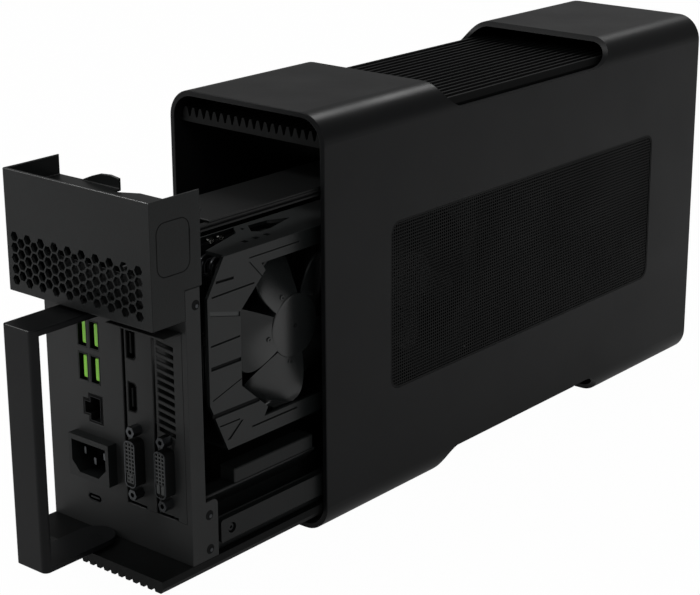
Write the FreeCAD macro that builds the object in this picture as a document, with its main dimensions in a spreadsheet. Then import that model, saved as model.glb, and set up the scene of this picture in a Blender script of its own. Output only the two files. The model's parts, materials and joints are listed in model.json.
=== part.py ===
import FreeCAD, Part
import math
import os
import Sketcher
from FreeCAD import Placement, Rotation, Vector

# External graphics card enclosure with its inner tray drawn out of the outer sleeve.
# Millimetres, +Z up. The origin is the middle of the footprint, on the surface that the feet stand on.
# The tray slides along Y and leaves the sleeve at its -Y end, the mouth.

SHEET = "Sizes"
ROOT3 = math.sqrt(3.0)

# The sizes that set the whole part. The sheet below takes them over and adds the others.
SLEEVE_WIDE = 105.0
SLEEVE_HIGH = 220.0
SLEEVE_LONG = 353.0
TRAY_OUT = 113.0
HANDLE_REACH = 30.0

doc = FreeCAD.newDocument("graphics_card_enclosure")


# Sizes

class Size:
    """A length that holds its value and the sheet formula that gives it."""

    def __init__(self, value, text):
        self.value = float(value)
        self.text = text

    def __add__(self, other):
        other = size(other)
        return Size(self.value + other.value, f"({self.text} + {other.text})")

    def __radd__(self, other):
        return size(other) + self

    def __sub__(self, other):
        other = size(other)
        return Size(self.value - other.value, f"({self.text} - {other.text})")

    def __rsub__(self, other):
        return size(other) - self

    def __mul__(self, other):
        other = size(other)
        return Size(self.value * other.value, f"({self.text} * {other.text})")

    def __rmul__(self, other):
        return size(other) * self

    def __truediv__(self, other):
        other = size(other)
        return Size(self.value / other.value, f"({self.text} / {other.text})")

    def __neg__(self):
        return Size(-self.value, f"(0 - {self.text})")


def size(item):
    """A plain number becomes a Size with a constant formula."""
    if isinstance(item, Size):
        return item
    text = f"{float(item):.6f}"
    return Size(item, text if item >= 0 else f"(0 - {-float(item):.6f})")


class Sizes:
    """The driving dimensions, one attribute for each named cell of the sheet."""

    def __init__(self):
        self.cells = doc.addObject("Spreadsheet::Sheet", SHEET)
        self.count = 0

    def add(self, name, value):
        self.count += 1
        self.cells.set(f"A{self.count}", name.replace("_", " "))
        self.cells.set(f"B{self.count}", str(value))
        self.cells.setAlias(f"B{self.count}", name)
        setattr(self, name, Size(value, f"{SHEET}.{name}"))


S = Sizes()

# Outer sleeve
S.add("sleeve_wide", SLEEVE_WIDE)
S.add("sleeve_high", SLEEVE_HIGH)
S.add("sleeve_long", SLEEVE_LONG)
S.add("sleeve_wall", 3.0)
S.add("sleeve_corner", 15.0)
S.add("sleeve_rim", 0.5)
S.add("foot_high", 1.0)
S.add("foot_radius", 8.0)
S.add("foot_inset", 28.0)
S.add("saddle_from_mouth", 94.0)
S.add("saddle_long", 163.0)
S.add("saddle_deep", 14.5)
S.add("saddle_round", 20.0)
S.add("window_from_mouth", 51.0)
S.add("window_long", 251.5)
S.add("window_low", 63.8)
S.add("window_high", 155.4)
S.add("window_corner", 7.0)
S.add("mesh_thick", 1.5)
S.add("mesh_border", 2.0)
S.add("mesh_bar", 2.0)
S.add("mesh_columns", 15)
S.add("mesh_rows", 8)
S.add("cover_thick", 3.0)
S.add("cover_recess", 1.0)
S.add("rail_wide", 4.0)
S.add("rail_high", 3.8)
S.add("rail_from_mouth", 42.0)
S.add("rail_from_cover", 5.0)

# Ribbed panels
S.add("rib_pitch", 5.0)
S.add("rib_gaps", 18)
S.add("rib_gap_wide", 3.7)
S.add("rib_gap_root", 0.9)
S.add("top_rib_deep", 4.7)
S.add("top_panel_half", 47.5)
S.add("top_panel_low", 202.4)
S.add("top_panel_high", 210.0)
S.add("top_panel_ledge", 1.5)
S.add("top_panel_skew", 1.5)
S.add("top_panel_skew_high", 3.5)
S.add("top_panel_from_mouth", 4.3)
S.add("base_gap_wide", 2.6)
S.add("base_rib_deep", 2.6)
S.add("base_top", 16.9)
S.add("base_thick", 6.3)
S.add("base_long", 345.0)
S.add("base_chamfer", 1.4)
S.add("base_chamfer_high", 2.6)

# Clearances
S.add("tray_clear", 0.5)
S.add("slide_clear", 0.3)
S.add("seat_clear", 0.1)
S.add("pin_clear", 0.05)

# Tray
S.add("tray_out", TRAY_OUT)
S.add("frame_long", 241.0)
S.add("sheet_thick", 1.2)
S.add("bezel_deep", 20.5)
S.add("bezel_low", 140.5)
S.add("bezel_high", 200.7)
S.add("bezel_face", 1.6)
S.add("bezel_left_flange", 34.0)
S.add("bezel_right_flange", 31.5)
S.add("bezel_step", 155.0)
S.add("bezel_shelf_drop", 9.7)
S.add("bezel_edge", 0.6)
S.add("tab_left", -33.0)
S.add("tab_right", -5.0)
S.add("tab_high", 5.8)
S.add("tab_dip", 6.0)
S.add("tab_dip_wide", 13.0)
S.add("vent_pitch", 5.4)
S.add("vent_wall", 0.85)
S.add("vent_x", -1.3)
S.add("vent_z", 157.2)
S.add("vent_tall_columns", 10)
S.add("panel_flange", 9.5)
S.add("lug_reach", 17.3)
S.add("lug_high", 47.0)
S.add("lug_round", 3.0)
S.add("bar_high", 12.0)
S.add("bar_thick", 3.2)
S.add("bar_from_panel", 20.0)
S.add("bar_long", 197.0)
S.add("bar_hole", 2.7)
S.add("bar_hole_in", 7.5)
S.add("chassis_top", 184.2)
S.add("chassis_left", 13.5)
S.add("chassis_from_face", 38.5)
S.add("left_wall_high", 159.0)
S.add("header_low", 165.0)
S.add("header_step", 175.0)
S.add("cable_rail_high", 3.4)
S.add("cable_rail_wide", 2.6)
S.add("cable_rail_lap", 3.5)
S.add("pan_half", 45.0)
S.add("pan_side", 17.0)

# Handle
S.add("handle_x", -8.55)
S.add("handle_wide", 20.6)
S.add("handle_thick", 4.0)
S.add("handle_arm", 3.0)
S.add("handle_reach", HANDLE_REACH)
S.add("handle_pivot_in", 9.9)
S.add("handle_top", 138.4)
S.add("handle_bend", 3.2)
S.add("handle_edge", 1.4)
S.add("handle_round", 0.6)
S.add("pivot_radius", 2.5)
S.add("pivot_boss", 6.0)

# Latch pad
S.add("pad_from_face", 14.2)
S.add("pad_z", 177.2)
S.add("pad_wide", 20.0)
S.add("pad_high", 25.0)
S.add("pad_corner", 5.0)
S.add("pad_gap", 0.5)
S.add("pad_thick", 1.2)
S.add("pad_travel", 1.2)
S.add("pad_stem", 3.0)
S.add("pad_block", 7.0)

# Connectors on the rear panel
S.add("usb_x", -22.6)
S.add("usb_z", 101.5)
S.add("usb_pitch_x", 8.4)
S.add("usb_pitch_z", 17.7)
S.add("usb_wide", 5.7)
S.add("usb_high", 13.6)
S.add("usb_deep", 13.0)
S.add("usb_shell", 0.4)
S.add("usb_tongue_thick", 2.0)
S.add("usb_tongue_high", 11.0)
S.add("jack_x", -15.0)
S.add("jack_z", 81.0)
S.add("jack_wide", 7.0)
S.add("jack_high", 12.2)
S.add("jack_notch_wide", 4.0)
S.add("jack_notch_high", 6.0)
S.add("jack_deep", 13.0)
S.add("jack_wall", 1.3)
S.add("inlet_x", -15.8)
S.add("inlet_z", 56.1)
S.add("inlet_wide", 28.2)
S.add("inlet_high", 21.8)
S.add("inlet_proud", 5.5)
S.add("inlet_mouth_wide", 24.0)
S.add("inlet_mouth_high", 16.4)
S.add("inlet_mouth_chamfer", 5.4)
S.add("inlet_deep", 15.0)
S.add("inlet_back", 3.0)
S.add("pin_long", 11.0)
S.add("pin_wide", 2.0)
S.add("pin_high", 4.0)
S.add("pin_spread", 7.0)
S.add("pin_rise", 2.0)
S.add("typec_x", -18.7)
S.add("typec_z", 33.4)
S.add("typec_wide", 9.0)
S.add("typec_high", 3.3)
S.add("typec_deep", 7.5)
S.add("typec_shell", 0.4)
S.add("io_board_left", -42.4)
S.add("io_board_right", -0.6)
S.add("io_board_low", 26.0)
S.add("io_board_high", 132.0)
S.add("board_thick", 1.6)

# Graphics card
S.add("bracket_x", 7.0)
S.add("bracket_thick", 0.9)
S.add("bracket_low", 38.0)
S.add("bracket_high", 134.0)
S.add("slot_pitch", 20.3)
S.add("slot_gap", 2.1)
S.add("slot_bridge", 4.0)
S.add("slot_foot_gap", 1.5)
S.add("slot_foot_wide", 12.6)
S.add("bracket_tab", 11.0)
S.add("grille_x", 28.6)
S.add("grille_wide", 11.2)
S.add("grille_low", 81.6)
S.add("grille_pitch", 3.93)
S.add("grille_slot", 2.2)
S.add("grille_drop", 1.5)
S.add("grille_count", 12)
S.add("video_x", 11.4)
S.add("dp_z", 121.5)
S.add("dp_high", 15.5)
S.add("dp_wide", 5.6)
S.add("hdmi_z", 94.0)
S.add("hdmi_high", 14.2)
S.add("hdmi_wide", 5.0)
S.add("video_chamfer", 1.4)
S.add("video_deep", 9.0)
S.add("video_shell", 0.5)
S.add("dvi_x", 14.5)
S.add("dvi_z", 62.4)
S.add("dvi_wide", 7.2)
S.add("dvi_high", 23.8)
S.add("dvi_proud", 6.0)
S.add("dvi_corner", 2.6)
S.add("dvi_body_wide", 12.0)
S.add("dvi_body_high", 27.0)
S.add("dvi_body_deep", 14.0)
S.add("dvi_hole", 0.9)
S.add("dvi_hole_pitch", 2.1)
S.add("nut_flat", 5.0)
S.add("nut_bore", 1.5)
S.add("nut_spread", 32.4)
S.add("nut_long", 5.6)
S.add("card_thick", 1.6)
S.add("card_x", 6.4)
S.add("card_low", 47.5)
S.add("card_high", 158.0)
S.add("card_long", 231.0)
S.add("finger_low", 41.5)
S.add("finger_from_panel", 55.0)
S.add("finger_long", 85.0)
S.add("riser_top", 37.0)
S.add("riser_right", 31.0)
S.add("slot_body_wide", 7.0)
S.add("slot_body_high", 9.6)
S.add("shroud_face", 42.0)
S.add("shroud_low", 64.5)
S.add("shroud_high", 162.0)
S.add("shroud_start", 21.1)
S.add("shroud_long", 210.0)
S.add("shroud_wall", 1.8)
S.add("shroud_slope", 11.5)
S.add("shroud_shoulder", 18.5)
S.add("shroud_foot", 26.0)
S.add("groove_deep", 0.7)
S.add("fin_base", 3.0)
S.add("fin_high", 6.5)
S.add("fin_thick", 0.9)
S.add("fin_pitch", 4.2)
S.add("fin_count", 44)
S.add("fan_from_panel", 84.6)
S.add("fan_pitch", 93.0)
S.add("fan_z", 113.4)
S.add("fan_open_half", 41.5)
S.add("fan_open_high", 39.4)
S.add("fan_open_shoulder", 19.0)
S.add("fan_open_corner", 26.3)
S.add("fan_open_notch", 2.8)
S.add("fan_open_notch_high", 4.2)
S.add("fan_hub", 20.5)
S.add("fan_hub_thick", 18.5)
S.add("fan_tip", 43.4)
S.add("blade_thick", 1.6)
S.add("blade_deep", 12.0)
S.add("blade_back", 0.8)
S.add("blade_count", 5)
S.add("shaft_radius", 1.5)
S.add("motor_radius", 16.0)
S.add("motor_thick", 3.0)
S.add("motor_arm", 5.0)
S.add("motor_reach", 45.6)

# Power supply and inner frame
S.add("supply_left", -44.5)
S.add("supply_wide", 40.5)
S.add("supply_high", 81.5)
S.add("supply_long", 150.0)
S.add("supply_from_panel", 34.0)
S.add("box_x", 45.8)
S.add("box_wide", 10.0)
S.add("box_low", 47.9)
S.add("box_high", 7.6)
S.add("box_from_panel", 32.5)
S.add("box_long", 57.0)
S.add("support_x", 33.0)
S.add("support_bend", 35.0)
S.add("support_long", 90.0)
S.add("screw_radius", 1.9)
S.add("screw_head", 1.1)
doc.recompute()

# Places worked out from the sizes
mouth = (S.tray_out + S.handle_reach - S.sleeve_long) / 2
low = S.foot_high
top = low + S.sleeve_high
half = S.sleeve_wide / 2
inner_half = half - S.sleeve_wall
far_end = mouth + S.sleeve_long
cover_out = far_end - S.cover_recess
cover_in = cover_out - S.cover_thick
tray_half = inner_half - S.tray_clear
tray_back = mouth - S.tray_out
panel_y = tray_back + S.bezel_deep
panel_in = panel_y + S.sheet_thick
base_z = low + S.base_top
base_low = base_z - S.base_thick
tray_end = tray_back + S.frame_long
bezel_low = low + S.bezel_low
bezel_high = low + S.bezel_high
bracket_y = panel_y
bracket_in = panel_y + S.bracket_thick
card_face = S.card_x + S.card_thick
fan_y = panel_y + S.fan_from_panel

kept = []


# Building blocks

def keep(item, node):
    """Names an object as a node of the part."""
    item.Label = node
    kept.append(item)
    return item


def bind(item, path, value):
    """Binds a property of an object to a sheet formula."""
    item.setExpression(path, size(value).text)


def place(item, x=0, y=0, z=0):
    """Moves an object to a bound position."""
    for path, value in (("x", x), ("y", y), ("z", z)):
        bind(item, f"Placement.Base.{path}", value)
    return item


def box(name, x0, x1, y0, y1, z0, z1):
    """A block between bound corners."""
    item = doc.addObject("Part::Box", name)
    bind(item, "Length", size(x1) - x0)
    bind(item, "Width", size(y1) - y0)
    bind(item, "Height", size(z1) - z0)
    return place(item, x0, y0, z0)


def rod(name, axis, radius, start, end, u, v):
    """A cylinder along an axis, from start to end, centred at u and v on the other two axes."""
    item = doc.addObject("Part::Cylinder", name)
    bind(item, "Radius", radius)
    bind(item, "Height", size(end) - start)
    if axis == "x":
        item.Placement = Placement(Vector(), Rotation(Vector(0, 1, 0), 90))
        return place(item, start, u, v)
    if axis == "y":
        item.Placement = Placement(Vector(), Rotation(Vector(1, 0, 0), -90))
        return place(item, u, start, v)
    return place(item, u, v, start)


def cut(name, base, *tools):
    """The base less its tools."""
    if len(tools) == 1:
        tool = tools[0]
    else:
        tool = doc.addObject("Part::MultiFuse", name + "_tools")
        tool.Shapes = list(tools)
    item = doc.addObject("Part::Cut", name)
    item.Base = base
    item.Tool = tool
    return item


def fuse(name, *parts):
    """The parts as one solid."""
    item = doc.addObject("Part::MultiFuse", name)
    item.Shapes = list(parts)
    item.Refine = True
    return item


def group(name, *parts):
    """Separate solids that share one node."""
    item = doc.addObject("Part::Compound", name)
    item.Links = list(parts)
    return item


def body(name):
    """An empty body with its own origin planes."""
    item = doc.addObject("PartDesign::Body", name)
    doc.recompute()
    return item


def origin_item(owner, role):
    """An origin plane or axis of a body."""
    return next(item for item in owner.Origin.OriginFeatures if item.Role == role)


def sketch(owner, role, name, offset=0):
    """A sketch on an origin plane of its own body, moved along that plane's axis to offset."""
    item = owner.newObject("Sketcher::SketchObject", name)
    item.AttachmentSupport = [(origin_item(owner, role), "")]
    item.MapMode = "FlatFace"
    offset = size(offset)
    bind(item, "AttachmentOffset.Base.z", -offset if role == "XZ_Plane" else offset)
    return item


def fix_point(item, rules, bound, edge, end, point):
    """Ties one point of a sketch to bound coordinates."""
    for kind, value in zip(("DistanceX", "DistanceY"), point):
        value = size(value)
        bound.append((len(rules), value))
        rules.append(Sketcher.Constraint(kind, -1, 1, edge, end, value.value))


def apply_rules(item, rules, bound):
    """Adds constraints to a sketch and binds their values, counted from those it has."""
    start = item.ConstraintCount
    item.addConstraint(rules)
    for index, value in bound:
        item.setExpression(f"Constraints[{start + index}]", value.text)


def outline(item, points):
    """A closed outline of straight lines through bound points."""
    first = item.GeometryCount
    places = [Vector(size(x).value, size(y).value, 0) for x, y in points]
    count = len(places)
    lines = [Part.LineSegment(places[i], places[(i + 1) % count]) for i in range(count)]
    item.addGeometry(lines, False)
    rules = []
    bound = []
    for i, point in enumerate(points):
        rules.append(Sketcher.Constraint("Coincident", first + i, 2, first + (i + 1) % count, 1))
        fix_point(item, rules, bound, first + i, 1, point)
    apply_rules(item, rules, bound)
    return item


def rectangle(item, x0, x1, y0, y1):
    """A rectangle between bound limits."""
    return outline(item, [(x0, y0), (x1, y0), (x1, y1), (x0, y1)])


def disc(item, x, y, radius):
    """A circle with a bound centre and radius."""
    edge = item.GeometryCount
    radius = size(radius)
    centre = Vector(size(x).value, size(y).value, 0)
    item.addGeometry([Part.Circle(centre, Vector(0, 0, 1), radius.value)], False)
    rules = []
    bound = []
    fix_point(item, rules, bound, edge, 3, (x, y))
    bound.append((len(rules), radius))
    rules.append(Sketcher.Constraint("Radius", edge, radius.value))
    apply_rules(item, rules, bound)
    return item


def rounded(item, x0, x1, y0, y1, radius):
    """A rectangle with round corners: four lines and four arcs, each point bound."""
    first = item.GeometryCount
    radius = size(radius)
    x0, x1, y0, y1 = (size(value) for value in (x0, x1, y0, y1))
    runs = [
        ((x0 + radius, y0), (x1 - radius, y0)),
        ((x1, y0 + radius), (x1, y1 - radius)),
        ((x1 - radius, y1), (x0 + radius, y1)),
        ((x0, y1 - radius), (x0, y0 + radius)),
    ]
    centres = [
        (x1 - radius, y0 + radius, -90),
        (x1 - radius, y1 - radius, 0),
        (x0 + radius, y1 - radius, 90),
        (x0 + radius, y0 + radius, 180),
    ]
    shapes = []
    for start, end in runs:
        ends = [Vector(x.value, y.value, 0) for x, y in (start, end)]
        shapes.append(Part.LineSegment(ends[0], ends[1]))
    for x, y, angle in centres:
        circle = Part.Circle(Vector(x.value, y.value, 0), Vector(0, 0, 1), radius.value)
        shapes.append(Part.ArcOfCircle(circle, math.radians(angle), math.radians(angle + 90)))
    item.addGeometry(shapes, False)
    rules = []
    bound = []
    for i, (start, end) in enumerate(runs):
        fix_point(item, rules, bound, first + i, 1, start)
        fix_point(item, rules, bound, first + i, 2, end)
        rules.append(Sketcher.Constraint("Coincident", first + i, 2, first + 4 + i, 1))
        rules.append(Sketcher.Constraint("Coincident", first + 4 + i, 2, first + (i + 1) % 4, 1))
    for i, (x, y, angle) in enumerate(centres):
        bound.append((len(rules), x))
        rules.append(Sketcher.Constraint("DistanceX", -1, 1, first + 4 + i, 3, x.value))
    apply_rules(item, rules, bound)
    return item


def pad(owner, name, profile, length, back=False):
    """Thickens a sketch. On an XZ sketch the length runs towards +Y unless back is set."""
    item = owner.newObject("PartDesign::Pad", name)
    item.Profile = profile
    item.Reversed = back != on_xz(profile)
    bind(item, "Length", length)
    doc.recompute()
    return item


def pocket(owner, name, profile, length, back=False):
    """Cuts a sketch into the body: towards +Y on XZ, -X on YZ and -Z on XY, unless back is set."""
    before = owner.Shape.Volume
    item = owner.newObject("PartDesign::Pocket", name)
    item.Profile = profile
    item.Reversed = back
    bind(item, "Length", length)
    doc.recompute()
    if not owner.Shape.Volume < before:
        raise RuntimeError(f"{name} cuts nothing")
    return item


def on_xz(profile):
    """True for a sketch on the XZ plane, whose normal points to -Y."""
    return profile.AttachmentSupport[0][0].Role == "XZ_Plane"


def row(owner, name, feature, role, pitch, count, back=False):
    """Repeats a feature along an origin axis of its body."""
    item = owner.newObject("PartDesign::LinearPattern", name)
    item.Originals = [feature]
    item.Direction = (origin_item(owner, role), [""])
    item.Reversed = back
    item.Mode = "Spacing"
    bind(item, "Offset", pitch)
    bind(item, "Occurrences", count)
    owner.Tip = item
    doc.recompute()
    return item


def grid(owner, name, feature, first, second):
    """Repeats a feature along two origin axes: each is (role, pitch, count)."""
    item = row(owner, name, feature, *first)
    item.Direction2 = (origin_item(owner, second[0]), [""])
    item.Mode2 = "Spacing"
    bind(item, "Offset2", second[1])
    bind(item, "Occurrences2", second[2])
    doc.recompute()
    return item


def fillet(owner, name, radius, wanted):
    """Rounds the edges of a body for which wanted(edge) is true."""
    base = owner.Tip
    names = [f"Edge{i + 1}" for i, edge in enumerate(base.Shape.Edges) if wanted(edge)]
    item = owner.newObject("PartDesign::Fillet", name)
    item.Base = (base, names)
    bind(item, "Radius", radius)
    doc.recompute()
    return item


def runs_along(edge, axis):
    """True for a straight edge along an axis, 0 for X, 1 for Y and 2 for Z."""
    if edge.Curve.TypeId != "Part::GeomLine":
        return False
    return abs(abs(edge.Curve.Direction[axis]) - 1.0) < 1e-6


def near(number, value):
    """True where a measured coordinate equals a size."""
    return abs(number - size(value).value) < 1e-3


# Outer sleeve

def make_sleeve():
    """Extruded tube with a saddle cut through its top and bottom and a window in its right side."""
    owner = body("sleeve_body")
    profile = sketch(owner, "XZ_Plane", "sleeve_profile", mouth)
    rounded(profile, -half, half, low, top, S.sleeve_corner)
    wall = S.sleeve_wall
    rounded(profile, wall - half, half - wall, low + wall, top - wall, S.sleeve_corner - wall)
    pad(owner, "sleeve_tube", profile, S.sleeve_long)
    start = mouth + S.saddle_from_mouth
    end = start + S.saddle_long
    reach = S.sleeve_wide * 1.5
    past = S.saddle_round * 2
    upper = sketch(owner, "YZ_Plane", "upper_saddle_profile", reach / 2)
    rounded(upper, start, end, top - S.saddle_deep, top + past, S.saddle_round)
    pocket(owner, "upper_saddle", upper, reach)
    lower = sketch(owner, "YZ_Plane", "lower_saddle_profile", reach / 2)
    rounded(lower, start, end, low - past, low + S.saddle_deep, S.saddle_round)
    pocket(owner, "lower_saddle", lower, reach)
    window = sketch(owner, "YZ_Plane", "window_profile", half)
    side = mouth + S.window_from_mouth
    rounded(window, side, side + S.window_long, low + S.window_low, low + S.window_high, S.window_corner)
    pocket(owner, "window", window, S.sleeve_corner)
    fillet(owner, "mouth_rim", S.sleeve_rim, lambda edge: near(edge.BoundBox.YMax, mouth))
    return keep(owner, "sleeve")


def make_mesh_panel():
    """Perforated sheet that fills the window, as bars with gaps between them."""
    owner = body("mesh_body")
    outer = half - S.seat_clear
    gap = S.seat_clear
    y0 = mouth + S.window_from_mouth + gap
    y1 = mouth + S.window_from_mouth + S.window_long - gap
    z0 = low + S.window_low + gap
    z1 = low + S.window_high - gap
    profile = sketch(owner, "YZ_Plane", "mesh_profile", outer)
    rounded(profile, y0, y1, z0, z1, S.window_corner - gap)
    pad(owner, "mesh_sheet", profile, S.mesh_thick, back=True)
    pitch_y = (y1 - y0 - S.mesh_border * 2 + S.mesh_bar) / S.mesh_columns
    pitch_z = (z1 - z0 - S.mesh_border * 2 + S.mesh_bar) / S.mesh_rows
    hole = sketch(owner, "YZ_Plane", "mesh_gap_profile", outer)
    start_y = y0 + S.mesh_border
    start_z = z0 + S.mesh_border
    rectangle(hole, start_y, start_y + pitch_y - S.mesh_bar, start_z, start_z + pitch_z - S.mesh_bar)
    gap_feature = pocket(owner, "mesh_gap", hole, S.mesh_thick * 2)
    columns = ("Y_Axis", pitch_y, S.mesh_columns)
    rows = ("Z_Axis", pitch_z, S.mesh_rows)
    grid(owner, "mesh_gaps", gap_feature, columns, rows)
    return keep(owner, "side_mesh_panel")


def make_top_panel():
    """Ribbed panel under the sleeve's top, carried by two thin ledges that reach the side walls."""
    owner = body("top_panel_body")
    start = mouth + S.top_panel_from_mouth
    bottom = low + S.top_panel_low
    ledge = bottom + S.top_panel_ledge
    high = low + S.top_panel_high
    wide = S.top_panel_half
    skew = S.top_panel_skew
    shoulder = high - S.top_panel_skew_high
    profile = sketch(owner, "XZ_Plane", "top_panel_profile", start)
    outline(profile, [
        (-inner_half, bottom), (inner_half, bottom), (inner_half, ledge), (wide, ledge), (wide, shoulder),
        (wide - skew, high), (skew - wide, high), (-wide, shoulder), (-wide, ledge), (-inner_half, ledge)])
    pad(owner, "top_panel_plate", profile, cover_in - start)
    groove = rib_groove(owner, "top", start, high, -S.top_rib_deep, S.rib_gap_wide)
    feature = pocket(owner, "top_groove", groove, cover_in - start + 1)
    row(owner, "top_grooves", feature, "X_Axis", S.rib_pitch, S.rib_gaps)
    return keep(owner, "top_rib_panel")


def rib_groove(owner, name, start, surface, depth, wide):
    """First groove of a row of ribs centred on X, as a tapered outline cut into a surface."""
    centre = -(S.rib_gaps - 1) * S.rib_pitch / 2
    profile = sketch(owner, "XZ_Plane", f"{name}_groove_profile", start - 0.5)
    out = -depth / 4
    spread = wide + (wide - S.rib_gap_root) / 4
    return outline(profile, [
        (centre - S.rib_gap_root / 2, surface + depth), (centre + S.rib_gap_root / 2, surface + depth),
        (centre + spread / 2, surface + out), (centre - spread / 2, surface + out)])


def make_front_cover():
    """Plain closing panel set into the sleeve's far end."""
    owner = body("front_cover_body")
    gap = S.seat_clear
    wall = S.sleeve_wall + gap
    profile = sketch(owner, "XZ_Plane", "front_cover_profile", cover_in)
    rounded(profile, wall - half, half - wall, low + wall, top - wall, S.sleeve_corner - wall)
    pad(owner, "front_cover_plate", profile, S.cover_thick)
    return keep(owner, "front_cover")


def make_rails():
    """Two guide rails on the sleeve's side walls, which the tray's bars ride on."""
    z0 = base_z + S.slide_clear
    z1 = z0 + S.rail_high
    y0 = mouth + S.rail_from_mouth
    y1 = cover_in - S.rail_from_cover
    reach = S.rail_wide
    keep(box("rail_left", -inner_half, reach - inner_half, y0, y1, z0, z1), "left_guide_rail")
    keep(box("rail_right", inner_half - reach, inner_half, y0, y1, z0, z1), "right_guide_rail")


def make_feet():
    """Four round rubber feet under the sleeve's flat underside."""
    near_y = mouth + S.saddle_from_mouth / 2
    far_y = far_end - (S.sleeve_long - S.saddle_from_mouth - S.saddle_long) / 2
    feet = []
    for i, y in enumerate((near_y, far_y)):
        for j, x in enumerate((-S.foot_inset, S.foot_inset)):
            feet.append(rod(f"foot_{i}{j}", "z", S.foot_radius, 0, low, x, y))
    keep(group("feet", *feet), "rubber_feet")


# Tray: base, rear panel and bezel

def make_base():
    """Ribbed floor of the tray, with the bore for the handle's lower pin."""
    owner = body("base_body")
    side = tray_half
    skew = S.base_chamfer
    rise = S.base_chamfer_high
    profile = sketch(owner, "XZ_Plane", "base_profile", tray_back)
    outline(profile, [
        (-side, base_z), (-side, base_low + rise), (skew - side, base_low),
        (side - skew, base_low), (side, base_low + rise), (side, base_z)])
    pad(owner, "base_plate_block", profile, S.base_long)
    groove = rib_groove(owner, "base", tray_back, base_low, S.base_rib_deep, S.base_gap_wide)
    feature = pocket(owner, "base_groove", groove, S.base_long + 1)
    row(owner, "base_grooves", feature, "X_Axis", S.rib_pitch, S.rib_gaps)
    bore = sketch(owner, "XY_Plane", "base_bore_profile", base_z)
    disc(bore, S.handle_x, tray_back + S.handle_pivot_in, S.pivot_radius + S.pin_clear)
    pocket(owner, "base_bore", bore, S.base_thick * 2)
    return keep(owner, "base_plate")


def make_ports_panel():
    """Folded rear panel with the openings for the connectors and the card bracket."""
    owner = body("ports_panel_body")
    side = tray_half
    high = low + S.bezel_step
    profile = sketch(owner, "XZ_Plane", "ports_panel_profile", panel_y)
    rectangle(profile, -side, side, base_z, high)
    pad(owner, "ports_panel_sheet", profile, S.sheet_thick)
    for name, x in (("left", -side), ("right", side - S.sheet_thick)):
        flange = sketch(owner, "YZ_Plane", f"{name}_flange_profile", x)
        lug = low + S.lug_high
        outline(flange, [
            (panel_y, base_z), (panel_y + S.lug_reach, base_z), (panel_y + S.lug_reach, lug),
            (panel_y + S.panel_flange, lug), (panel_y + S.panel_flange, high), (panel_y, high)])
        pad(owner, f"{name}_flange", flange, S.sheet_thick)
    fillet(owner, "lug_corners", S.lug_round, lambda edge: (
        runs_along(edge, 0) and near(edge.CenterOfMass.y, panel_y + S.lug_reach)
        and near(edge.CenterOfMass.z, low + S.lug_high)))
    usb = sketch(owner, "XZ_Plane", "usb_hole_profile", panel_y)
    rectangle(usb, *usb_limits(S.seat_clear))
    usb_hole = pocket(owner, "usb_hole", usb, S.sheet_thick)
    grid(owner, "usb_holes", usb_hole, ("X_Axis", S.usb_pitch_x, 2), ("Z_Axis", S.usb_pitch_z, 2))
    holes = sketch(owner, "XZ_Plane", "panel_holes_profile", panel_y)
    outline(holes, jack_outline(S.jack_wall + S.seat_clear))
    rounded(holes, *typec_limits(S.typec_shell + S.seat_clear))
    inlet = S.inlet_mouth_wide / 2 + 1
    inlet_high = S.inlet_mouth_high / 2 + 1
    middle = low + S.inlet_z
    rectangle(holes, S.inlet_x - inlet, S.inlet_x + inlet, middle - inlet_high, middle + inlet_high)
    left = S.bracket_x - S.slot_gap
    right = S.bracket_x + S.slot_pitch * 2 - S.slot_gap + S.seat_clear
    rectangle(holes, left, right, low + S.bracket_low, low + S.bracket_high + S.seat_clear)
    pocket(owner, "panel_holes", holes, S.sheet_thick)
    return keep(owner, "ports_panel")


def usb_limits(grow=0):
    """Limits of the first port's opening in X and Z, grown by its shell and a clearance."""
    wide = S.usb_wide / 2 + S.usb_shell + grow
    high = S.usb_high / 2 + S.usb_shell + grow
    z = low + S.usb_z
    return S.usb_x - wide, S.usb_x + wide, z - high, z + high


def typec_limits(grow=0):
    """Limits and corner radius of the flat oval port."""
    wide = S.typec_wide / 2 + grow
    high = S.typec_high / 2 + grow
    z = low + S.typec_z
    return S.typec_x - wide, S.typec_x + wide, z - high, z + high, high * 0.96


def jack_outline(grow=0):
    """Outline of the network jack: a rectangle with the latch's notch on its left side."""
    x0 = S.jack_x - S.jack_wide / 2 - grow
    x1 = S.jack_x + S.jack_wide / 2 + grow
    z = low + S.jack_z
    high = S.jack_high / 2 + grow
    notch = S.jack_notch_high / 2 + grow
    x2 = x0 - S.jack_notch_wide
    return [(x0, z - high), (x1, z - high), (x1, z + high), (x0, z + high),
            (x0, z + notch), (x2, z + notch), (x2, z - notch), (x0, z - notch)]


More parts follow.
